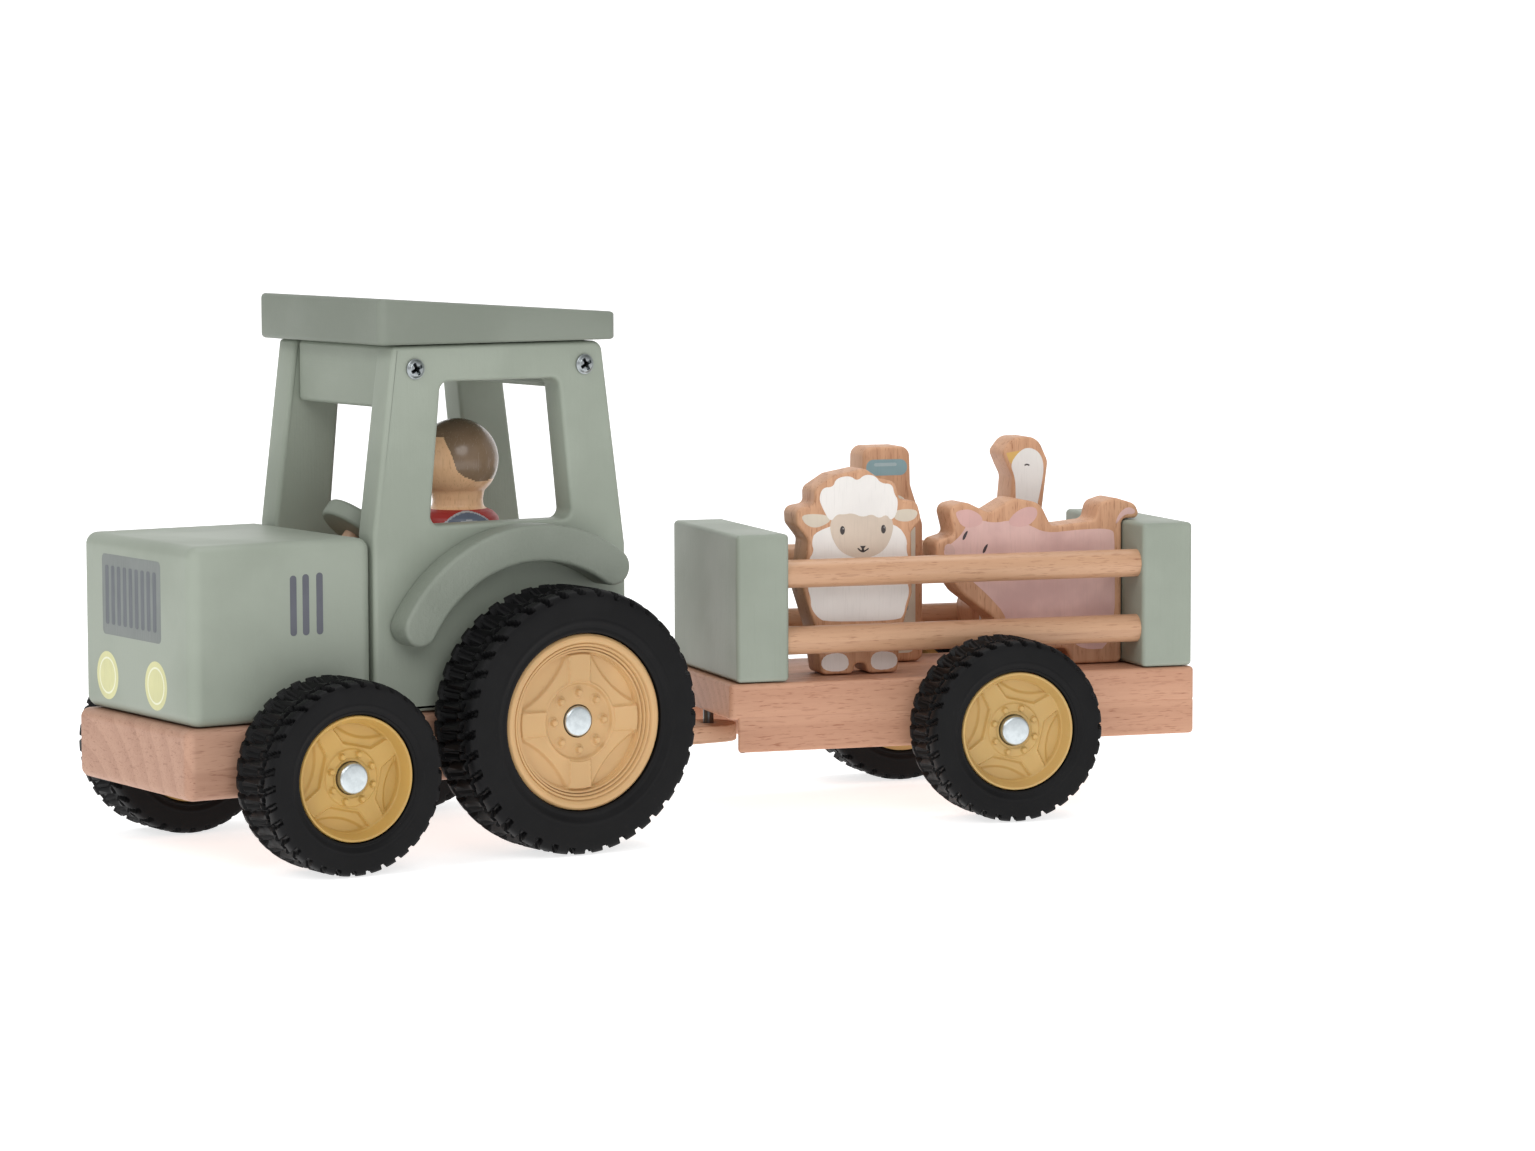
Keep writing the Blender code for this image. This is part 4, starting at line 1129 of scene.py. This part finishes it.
class TRACTOR_OT_hitch(bpy.types.Operator):
    """Make the screws, the hitch tongue and the pin"""
    bl_idname = "tractor.hitch"
    bl_label = "Hitch and screws"

    def execute(self, context):
        for place in ("front", "rear"):
            for side, sign in (("left", 1), ("right", -1)):
                screw(f"cab_screw_{place}_{side}", (sign, 0, 0), TRACTOR, "tractor")
                screw(f"board_screw_{place}_{side}", (0, 0, -1), TRAILER, "trailer")
            screw(f"tongue_screw_{place}", (0, 0, -1), TRACTOR, "tractor")
        low, high = extent("hitch_tongue")
        eye = TRACTOR.local(PIN)[1]
        half = high[0]
        outline = rounded([(-half, low[1], 0.5), (half, low[1], 0.5), (half, eye + half, half),
                           (-half, eye + half, half)], 0.5)
        holes = [circle((0, eye), 2.0)]
        for place in ("front", "rear"):
            screw_low, screw_high = extent(f"tongue_screw_{place}")
            holes.append(circle((0, (screw_low[1] + screw_high[1]) / 2), 2.9, 32))
        board("hitch_tongue_ply", [outline, *holes], low[2], high[2], 0.5, np.asarray, TRACTOR,
              [beech("tongue_beech", tint=(0.95, 0.93, 0.9))], "tractor", ["hitch_tongue"])
        low, high = extent("hitch_pin", TRAILER)
        section = np.array([(0.02, high[2]), (1.5, high[2]), (1.5, low[2] + 0.5), (1.1, low[2]),
                            (0.02, low[2])])

        def stand(grid):
            return grid.reshape(-1, 3)

        lathe("hitch_pin_steel", section, 48, stand, TRAILER, zinc("pin_steel", 0.25), "trailer",
              ["hitch_pin"])
        return {"FINISHED"}


# ---------------------------------------------------------------- the trailer

class TRACTOR_OT_trailer(bpy.types.Operator):
    """Make the trailer's bed, end boards and rails"""
    bl_idname = "tractor.trailer"
    bl_label = "Trailer"

    def execute(self, context):
        self.bed()
        for name in ("front_board", "rear_board"):
            block(name, 1.3, sage("board_paint", grain=0.8, value=1.0), "trailer", TRAILER)
        for level in ("lower", "upper"):
            for side in ("left", "right"):
                self.rail(f"rail_{level}_{side}", 0.013 * (level == "upper") + 0.029 * (side == "left"))
        return {"FINISHED"}

    @staticmethod
    def bed():
        """The bed in two boards: the full top, and a lower half cut back in an arc for the hitch."""
        low, high = extent("trailer_bed", TRAILER)
        lip, centre_y, recess_r = 28.9, -22.9, 36.4
        reach = math.acos((low[1] - centre_y) / recess_r)
        half_reach = min(reach, math.asin((high[0] - 1.6) / recess_r))
        turn = np.linspace(-half_reach, half_reach, 60)
        arc = np.column_stack([recess_r * np.sin(turn), centre_y + recess_r * np.cos(turn)])
        full = rounded([(low[0], low[1], 1.5), (high[0], low[1], 1.5), (high[0], high[1], 1.5),
                        (low[0], high[1], 1.5)])
        cut = np.concatenate([arc, rounded([(high[0], arc[-1, 1] - 0.4, 0.6), (high[0], high[1], 1.5),
                                            (low[0], high[1], 1.5), (low[0], arc[0, 1] - 0.4, 0.6)])])
        upper = plate_surface([full], lip, high[2], 1.2)
        lower = plate_surface([cut], low[2], lip + 1.3, 1.2)
        look = beech("bed_beech", shift=(0.03, 0, -0.01), turn=(0, 0, 0.2628), tint=(0.92, 0.73, 0.66),
                     contrast=0.7)
        points, faces, which = join([(*upper, 0), (*lower, 0)])
        new_piece("trailer_bed_board", TRAILER.world(points), faces, [look], "trailer", ["trailer_bed"],
                  which)

    @staticmethod
    def rail(name, shift):
        """A dowel along the trailer: a circle carried along, its ends chamfered."""
        low, high = extent(name, TRAILER)
        radius, middle = (high[0] - low[0]) / 2, (low + high) / 2
        length = high[1] - low[1]
        section = np.array([(0.02, length / 2), (radius - 0.4, length / 2), (radius, length / 2 - 0.4),
                            (radius, 0.0), (radius, 0.4 - length / 2), (radius - 0.4, -length / 2),
                            (0.02, -length / 2)])

        def lie(grid):
            points = grid.reshape(-1, 3)
            return middle + np.column_stack([points[:, 0], -points[:, 2], points[:, 1]])

        look = beech(f"{name}_beech", shift=(shift, 0, 0.02), turn=(0, 0, 0.2628), tint=(0.95, 0.84, 0.71),
                     gloss=0.14, contrast=0.65)
        lathe(f"{name}_dowel", section, 64, lie, TRAILER, look, "trailer", [name])


# ---------------------------------------------------------------- the load

def wavy(points, passes=2):
    """A soft closed outline: corner cutting, each edge replaced by its quarter points, a few times."""
    points = np.array(points, float)
    for _ in range(passes):
        after = np.roll(points, -1, 0)
        points = np.stack([0.75 * points + 0.25 * after, 0.25 * points + 0.75 * after], 1).reshape(-1, 2)
    return points


def cutout(name, corners, prints):
    """A cut-out board with its pictures on both faces: each print is (outline, level, material)."""
    low, high = extent(name, TRAILER)
    middle, half = (low[0] + high[0]) / 2, (high[0] - low[0]) / 2
    outline = rounded([(y, z, max(r, 1.6)) for y, z, r in corners])

    def stand(points):
        return upright(points, middle)

    points, quads, fill = plate_surface([outline], -half, half, 0.9)
    wood = beech(f"{name}_beech", turn=(math.pi / 2, 0, 0), shift=(0.01 * len(name), 0.0, 0.03),
                 tint=(0.98, 0.81, 0.65), contrast=0.75)
    new_piece(f"{name}_board", TRAILER.world(stand(points)), [quads, fill], [wood], name, [name])
    layers = []
    for face in (1, -1):
        def on_face(flat_points, face=face):
            return upright(flat_points, middle + face * half, face)

        layers += [(shape, on_face, level, look) for shape, level, look in prints]
    printed(f"{name}_picture", layers, TRAILER, name)


FLOOR = 39.3


class TRACTOR_OT_sheep(bpy.types.Operator):
    """Make the sheep cut-out"""
    bl_idname = "tractor.sheep"
    bl_label = "Sheep"

    def execute(self, context):
        corners = [(28.4, FLOOR, 1.6), (37.9, FLOOR, 0.9), (38.3, 42.3, 1.5), (41.7, 42.3, 1.5),
                   (42.1, FLOOR, 0.9), (51.3, FLOOR, 1.6), (52.2, 50, 3), (55.8, 62, 4), (55.5, 79.5, 1),
                   (58.6, 83.0, 2.2), (57.2, 88.3, 2.6), (52.0, 88.8, 0.8), (50.5, 94.0, 2.4),
                   (45.8, 95.0, 1.5), (41.5, 98.0, 3), (32.3, 96.3, 2.6), (26.2, 92.5, 2.6),
                   (26.3, 88.0, 0.8), (20.6, 87.0, 2.4), (20.9, 82.4, 2.2), (24.3, 78.0, 2),
                   (22.8, 64.0, 4), (26.3, 53.0, 3)]
        wool = ink("wool_ink", (0.84, 0.81, 0.78), 0.025, 0.55, 0.3)
        beige = ink("sheep_face_ink", (0.67, 0.56, 0.46), 0.05, 0.5, 0.4)
        cream = ink("sheep_ear_ink", (0.68, 0.60, 0.49), 0.05, 0.5, 0.4)
        dark = ink("sheep_eye_ink", (0.045, 0.035, 0.035), 0.05, 0.4, 0.1)
        shine = ink("eye_shine_ink", (0.75, 0.73, 0.70), 0.02, 0.4, 0.1)
        coat = wavy([(26.2, 80.6), (25.2, 77.0), (26.0, 74.8), (24.2, 72.2), (25.2, 68.6), (23.9, 64.6),
                     (25.0, 61.4), (25.0, 58.6), (27.2, 55.6), (29.6, 54.5), (51.6, 54.1), (53.2, 56.0),
                     (53.6, 58.6), (54.9, 62.2), (53.9, 66.0), (55.1, 70.8), (53.8, 74.0), (54.2, 77.6),
                     (51.0, 81.9), (40, 84)])
        hair = wavy([(28.6, 86.8), (27.4, 89.8), (28.6, 92.9), (31.8, 92.9), (32.6, 95.4), (36.8, 96.1),
                     (39.0, 94.4), (41.2, 96.3), (44.4, 95.9), (46.1, 93.6), (49.6, 93.4), (50.2, 90.4),
                     (51.4, 88.8), (50.9, 84.6), (49.2, 82.8), (47.8, 84.8), (45.6, 83.5), (43.4, 85.0),
                     (40.7, 84.0), (37.4, 85.4), (35.0, 85.0), (32.8, 85.2), (30.9, 82.8)])
        muzzle = wavy([(30.6, 82.8), (31.2, 78.6), (33.6, 74.6), (38.0, 72.4), (43.0, 72.4), (47.2, 74.4),
                       (49.4, 78.2), (50.1, 82.4), (47.6, 86.4), (33.2, 86.4)])
        ears = [wavy([(21.9, 85.0), (25.1, 85.5), (30.0, 85.0), (31.2, 83.6), (29.3, 82.2), (26.2, 81.3),
                      (23.4, 82.4)]),
                wavy([(49.9, 85.6), (54.0, 86.2), (57.4, 85.6), (57.0, 83.6), (55.0, 82.5), (52.2, 82.5),
                      (50.1, 83.4)])]
        feet = [wavy([(28.4, 45.2), (36.0, 45.6), (36.6, 40.0), (28.0, 40.4)]),
                wavy([(43.2, 45.6), (51.0, 45.2), (51.2, 40.4), (43.0, 40.0)])]
        prints = [(coat, 0.03, wool)]
        prints += [(ear, 0.04, cream) for ear in ears]
        prints += [(foot, 0.03, wool) for foot in feet]
        prints += [(muzzle, 0.06, beige), (hair, 0.08, wool)]
        for y in (34.5, 46.9):
            prints += [(circle((y, 80.5), (0.72, 1.25), 24), 0.10, dark),
                       (circle((y + 0.25, 81.0), 0.22, 12), 0.12, shine)]
        prints.append((np.array([(39.0, 75.1), (40.1, 74.2), (40.7, 74.0), (41.3, 74.2), (42.5, 75.0),
                                 (42.4, 75.3), (41.2, 74.6), (40.8, 74.9), (41.6, 75.9), (39.8, 75.9),
                                 (40.5, 74.9), (40.1, 74.6), (39.1, 75.4)]), 0.09, dark))
        cutout("sheep", corners, prints)
        return {"FINISHED"}


class TRACTOR_OT_bottle(bpy.types.Operator):
    """Make the milk bottle cut-out"""
    bl_idname = "tractor.bottle"
    bl_label = "Milk bottle"

    def execute(self, context):
        corners = [(46.0, FLOOR, 2.5), (68.6, FLOOR, 2.5), (68.6, 79.5, 5), (64.8, 91.0, 4),
                   (64.5, 102.3, 3.0), (50.1, 102.3, 3.0), (49.8, 91.0, 4), (46.0, 79.5, 5)]
        cap = ink("bottle_cap_ink", (0.235, 0.36, 0.39), 0.05, 0.5, 0.3)
        cap_light = ink("bottle_cap_light_ink", (0.36, 0.46, 0.48), 0.04, 0.5, 0.3)
        milk = ink("milk_ink", (0.72, 0.68, 0.57), 0.03, 0.5, 0.35)
        label = ink("bottle_label_ink", (0.30, 0.42, 0.45), 0.06, 0.5, 0.3)
        drop = ink("milk_drop_ink", (0.82, 0.80, 0.75), 0.02, 0.5, 0.2)
        prints = [(rounded([(51.0, 93.9, 2.2), (63.6, 93.9, 2.2), (63.6, 98.6, 2.2), (51.0, 98.6, 2.2)]),
                   0.04, cap),
                  (rounded([(53.4, 96.6, 0.5), (60.4, 96.6, 0.5), (60.4, 97.6, 0.5), (53.4, 97.6, 0.5)],
                           0.2), 0.06,
                   cap_light),
                  (rounded([(48.4, 41.8, 2.5), (66.2, 41.8, 2.5), (66.2, 78.6, 4), (62.6, 88.0, 3),
                            (52.0, 88.0, 3), (48.4, 78.6, 4)]), 0.04, milk),
                  (rounded([(50.6, 54.0, 1.0), (64.0, 54.0, 1.0), (64.0, 67.0, 1.0), (50.6, 67.0, 1.0)]),
                   0.06, label),
                  (wavy([(57.3, 65.2), (55.2, 61.4), (54.4, 58.8), (55.4, 56.2), (57.3, 55.4), (59.2, 56.2),
                         (60.2, 58.8), (59.4, 61.4)]), 0.08, drop)]
        cutout("bottle", corners, prints)
        return {"FINISHED"}


class TRACTOR_OT_goose(bpy.types.Operator):
    """Make the goose cut-out"""
    bl_idname = "tractor.goose"
    bl_label = "Goose"

    def execute(self, context):
        corners = [(85.0, FLOOR, 2.5), (115.0, FLOOR, 2.5), (117.0, 60.0, 8), (108.0, 67.0, 6),
                   (106.0, 82.0, 8), (107.9, 97.0, 4), (104.5, 104.3, 5), (96.8, 104.1, 4),
                   (93.4, 99.8, 2.0), (95.0, 96.0, 2.0), (96.7, 92.5, 3), (95.5, 80.0, 6), (92.0, 66.0, 8),
                   (83.0, 56.0, 6)]
        white = ink("goose_ink", (0.80, 0.78, 0.75), 0.03, 0.55, 0.3)
        beak = ink("beak_ink", (0.70, 0.44, 0.13), 0.06, 0.5, 0.3)
        dark = ink("goose_eye_ink", (0.22, 0.20, 0.20), 0.05, 0.5, 0.1)
        wing = ink("goose_wing_ink", (0.62, 0.61, 0.58), 0.06, 0.55, 0.3)
        body = wavy([(97.6, 88.0), (97.4, 92.4), (95.8, 96.2), (98.4, 99.8), (101.4, 101.3), (105.0, 99.8),
                     (106.6, 96.0), (105.8, 90.0), (103.9, 82.0), (105.6, 68.0), (114.0, 59.0),
                     (112.6, 42.4), (87.4, 42.4), (85.4, 55.0), (94.6, 66.0), (97.8, 80.0)])
        feathers = wavy([(95.0, 60.0), (104.0, 62.0), (111.6, 56.4), (108.0, 48.6), (98.6, 47.6),
                         (94.0, 53.0)])
        lid = np.linspace(math.radians(20), math.radians(160), 10)
        eye = np.concatenate([np.column_stack([101.1 + 0.85 * np.cos(lid), 95.5 + 0.75 * np.sin(lid)]),
                              np.column_stack([101.1 + 0.65 * np.cos(lid[::-1]),
                                               95.4 + 0.55 * np.sin(lid[::-1])])])
        prints = [(np.array([(94.6, 99.6), (95.6, 96.9), (96.8, 96.0), (100.2, 100.4)]), 0.03, beak),
                  (body, 0.05, white), (feathers, 0.07, wing), (eye, 0.08, dark)]
        cutout("goose", corners, prints)
        return {"FINISHED"}


class TRACTOR_OT_pig(bpy.types.Operator):
    """Make the pig cut-out"""
    bl_idname = "tractor.pig"
    bl_label = "Pig"

    def execute(self, context):
        corners = [(85.0, FLOOR, 1.6), (94.0, FLOOR, 1.2), (95.5, 44.0, 2), (104.5, 44.0, 2.2),
                   (106.5, FLOOR, 1.0), (121.8, FLOOR, 1.4), (121.8, 81.3, 0.05), (127.8, 81.3, 1.2),
                   (126.0, 85.5, 3), (119.5, 87.5, 4), (114.5, 86.0, 3), (113.3, 80.9, 2),
                   (99.8, 79.6, 2.0), (96.3, 86.5, 5), (88.0, 88.2, 5), (80.5, 84.0, 3), (73.5, 87.3, 4),
                   (67.8, 86.3, 3.2), (69.9, 77.9, 1.2), (64.1, 76.3, 2.4), (64.4, 71.3, 3),
                   (72.0, 61.0, 5), (82.2, 53.2, 4)]
        pink = ink("pig_ink", (0.74, 0.50, 0.46), 0.05, 0.55, 0.35, (0.70, 0.45, 0.42))
        ear = ink("pig_ear_ink", (0.70, 0.43, 0.40), 0.06, 0.55, 0.3)
        dark = ink("pig_eye_ink", (0.06, 0.045, 0.05), 0.05, 0.45, 0.1)
        cheek = ink("pig_cheek_ink", (0.62, 0.33, 0.30), 0.05, 0.55, 0.3)
        snout = ink("pig_snout_ink", (0.66, 0.45, 0.41), 0.04, 0.55, 0.3)
        body = wavy([(66.0, 73.8), (69.6, 76.0), (72.2, 78.4), (73.9, 81.6), (77.0, 82.2), (82.0, 81.0),
                     (87.0, 81.8), (92.4, 80.4), (98.0, 77.6), (107.2, 78.4), (118.6, 78.6), (119.6, 76.0),
                     (119.6, 43.6), (109.4, 43.2), (105.0, 47.4), (94.6, 47.2), (92.0, 42.6), (87.2, 42.8),
                     (86.4, 53.4), (79.8, 60.6), (72.6, 66.6), (67.4, 71.0)])
        ears = [wavy([(72.4, 79.6), (69.9, 83.9), (70.6, 84.9), (74.4, 85.4), (78.2, 83.3), (78.4, 80.6)]),
                wavy([(85.6, 80.4), (88.2, 84.0), (92.4, 85.7), (95.3, 85.0), (95.2, 82.2), (91.7, 79.4)])]
        tail = wavy([(119.4, 79.0), (120.6, 82.6), (123.4, 84.8), (126.0, 83.8), (125.6, 82.4),
                     (122.4, 82.6)])
        prints = [(body, 0.03, pink), (tail, 0.05, pink)]
        prints += [(shape, 0.05, ear) for shape in ears]
        prints.append((wavy([(66.4, 74.8), (67.0, 71.8), (69.4, 71.0), (70.2, 73.6), (68.4, 75.8)]), 0.06,
                       snout))
        prints.append((circle((77.4, 69.4), 2.2, 30), 0.05, cheek))
        for y, z in ((73.0, 77.7), (79.2, 73.7)):
            lash = np.array([(-0.9, -1.3), (-0.2, -1.2), (0.5, 0.2), (0.9, 1.4), (0.3, 1.2), (-0.6, 0.1)])
            prints.append((wavy(lash + (y, z), passes=1), 0.07, dark))
        cutout("pig", corners, prints)
        return {"FINISHED"}


# ---------------------------------------------------------------- stage

class TRACTOR_OT_stage(bpy.types.Operator):
    """Set the pale floor, the soft lights and the camera"""
    bl_idname = "tractor.stage"
    bl_label = "Stage"

    def execute(self, context):
        scene = context.scene
        sweep = self.sweep()
        sweep.data.materials.append(material("paper_white", lambda nodes: {
            "Base Color": nodes.mix(nodes.noise(nodes.place(), 3.0), (0.70, 0.70, 0.70),
                                    (0.72, 0.72, 0.72)),
            "Roughness": 0.9, "Specular IOR Level": 0.1, "Emission Color": (1, 1, 1, 1),
            "Emission Strength": 0.74}))
        world = bpy.data.worlds.new("studio")
        world.use_nodes = True
        world.node_tree.nodes["Background"].inputs["Color"].default_value = (1.0, 1.0, 1.0, 1.0)
        world.node_tree.nodes["Background"].inputs["Strength"].default_value = 0.47
        scene.world = world
        self.light("key", (0.35, -1.1, 0.9), 0.5, 3.8)
        self.light("fill", (1.2, -0.4, 0.8), 0.8, 4.6)
        self.light("top", (-0.1, 0.2, 1.3), 0.9, 5.5)
        self.camera(scene)
        scene.view_settings.view_transform = "Standard"
        scene.view_settings.look = "None"
        return {"FINISHED"}

    @staticmethod
    def sweep():
        """Paper, flat under the toy and curved up behind it: a line, a quarter circle and a line."""
        turn = np.linspace(0, math.pi / 2, 25)
        run = np.concatenate([[-3.0], 1.8 + 0.5 * np.sin(turn), [2.3]])
        rise = np.concatenate([[0.0], 0.5 - 0.5 * np.cos(turn), [1.6]])
        away = np.array([-math.sin(VIEW_AZIMUTH), math.cos(VIEW_AZIMUTH)])
        side = np.array([away[1], -away[0]])
        across = np.array([-2.5, 2.5])
        flat_places = run[:, None, None] * away + across[None, :, None] * side
        points = np.concatenate([flat_places, np.repeat(rise[:, None, None], 2, 1)], 2).reshape(-1, 3)
        mesh = bpy.data.meshes.new("paper")
        mesh.from_pydata(points.tolist(), [], grid_quads(len(run), 2)[:, ::-1].tolist())
        mesh.shade_smooth()
        paper = bpy.data.objects.new("paper", mesh)
        bpy.context.scene.collection.objects.link(paper)
        return paper

    @staticmethod
    def light(name, place, size, power):
        data = bpy.data.lights.new(name, "AREA")
        data.shape = "DISK"
        data.size = size
        data.energy = power
        lamp = bpy.data.objects.new(name, data)
        lamp.location = place
        lamp.rotation_euler = (Vector((0, 0, 0.06)) - Vector(place)).to_track_quat("-Z", "Y").to_euler()
        bpy.context.scene.collection.objects.link(lamp)

    @staticmethod
    def camera(scene):
        """A long lens off the tractor's left front corner, just above it and looking slightly down."""
        azimuth, down, roll = VIEW_AZIMUTH, math.radians(5.19), math.radians(-0.15)
        data = bpy.data.cameras.new("camera")
        data.lens, data.sensor_width = 110.28, 36.0
        camera = bpy.data.objects.new("camera", data)
        camera.location = TRACTOR.world([1127.0, -544.6, 188.8])
        back = Vector((math.sin(azimuth) * math.cos(down), -math.cos(azimuth) * math.cos(down),
                       math.sin(down)))
        turned = back.to_track_quat("Z", "Y").to_matrix() @ Matrix.Rotation(roll, 3, "Z")
        camera.rotation_euler = turned.to_euler()
        scene.collection.objects.link(camera)
        scene.camera = camera


class TRACTOR_PT_panel(bpy.types.Panel):
    """Lists the steps that build the toy"""
    bl_idname = "TRACTOR_PT_panel"
    bl_label = "Toy tractor"
    bl_space_type = "VIEW_3D"
    bl_region_type = "UI"
    bl_category = "Toy tractor"

    def draw(self, context):
        for settings in (context.scene.tractor_paints, context.scene.tractor_shapes):
            for key in settings.__annotations__:
                self.layout.prop(settings, key)
        for step in STEPS:
            self.layout.operator(step.bl_idname)


STEPS = (TRACTOR_OT_stage, TRACTOR_OT_hood, TRACTOR_OT_cab, TRACTOR_OT_driver, TRACTOR_OT_wheels,
         TRACTOR_OT_hitch, TRACTOR_OT_trailer, TRACTOR_OT_sheep, TRACTOR_OT_bottle, TRACTOR_OT_goose,
         TRACTOR_OT_pig)
CLASSES = (PaintSettings, ShapeSettings, *STEPS, TRACTOR_PT_panel)


def register():
    """Adds the settings, the steps and the panel."""
    for cls in CLASSES:
        bpy.utils.register_class(cls)
    bpy.types.Scene.tractor_paints = PointerProperty(type=PaintSettings)
    bpy.types.Scene.tractor_shapes = PointerProperty(type=ShapeSettings)


def unregister():
    """Takes them away again."""
    del bpy.types.Scene.tractor_shapes
    del bpy.types.Scene.tractor_paints
    for cls in reversed(CLASSES):
        bpy.utils.unregister_class(cls)


def main():
    """Runs every step in order."""
    register()
    for step in STEPS:
        family, action = step.bl_idname.split(".")
        getattr(getattr(bpy.ops, family), action)()


if __name__ == "__main__":
    main()
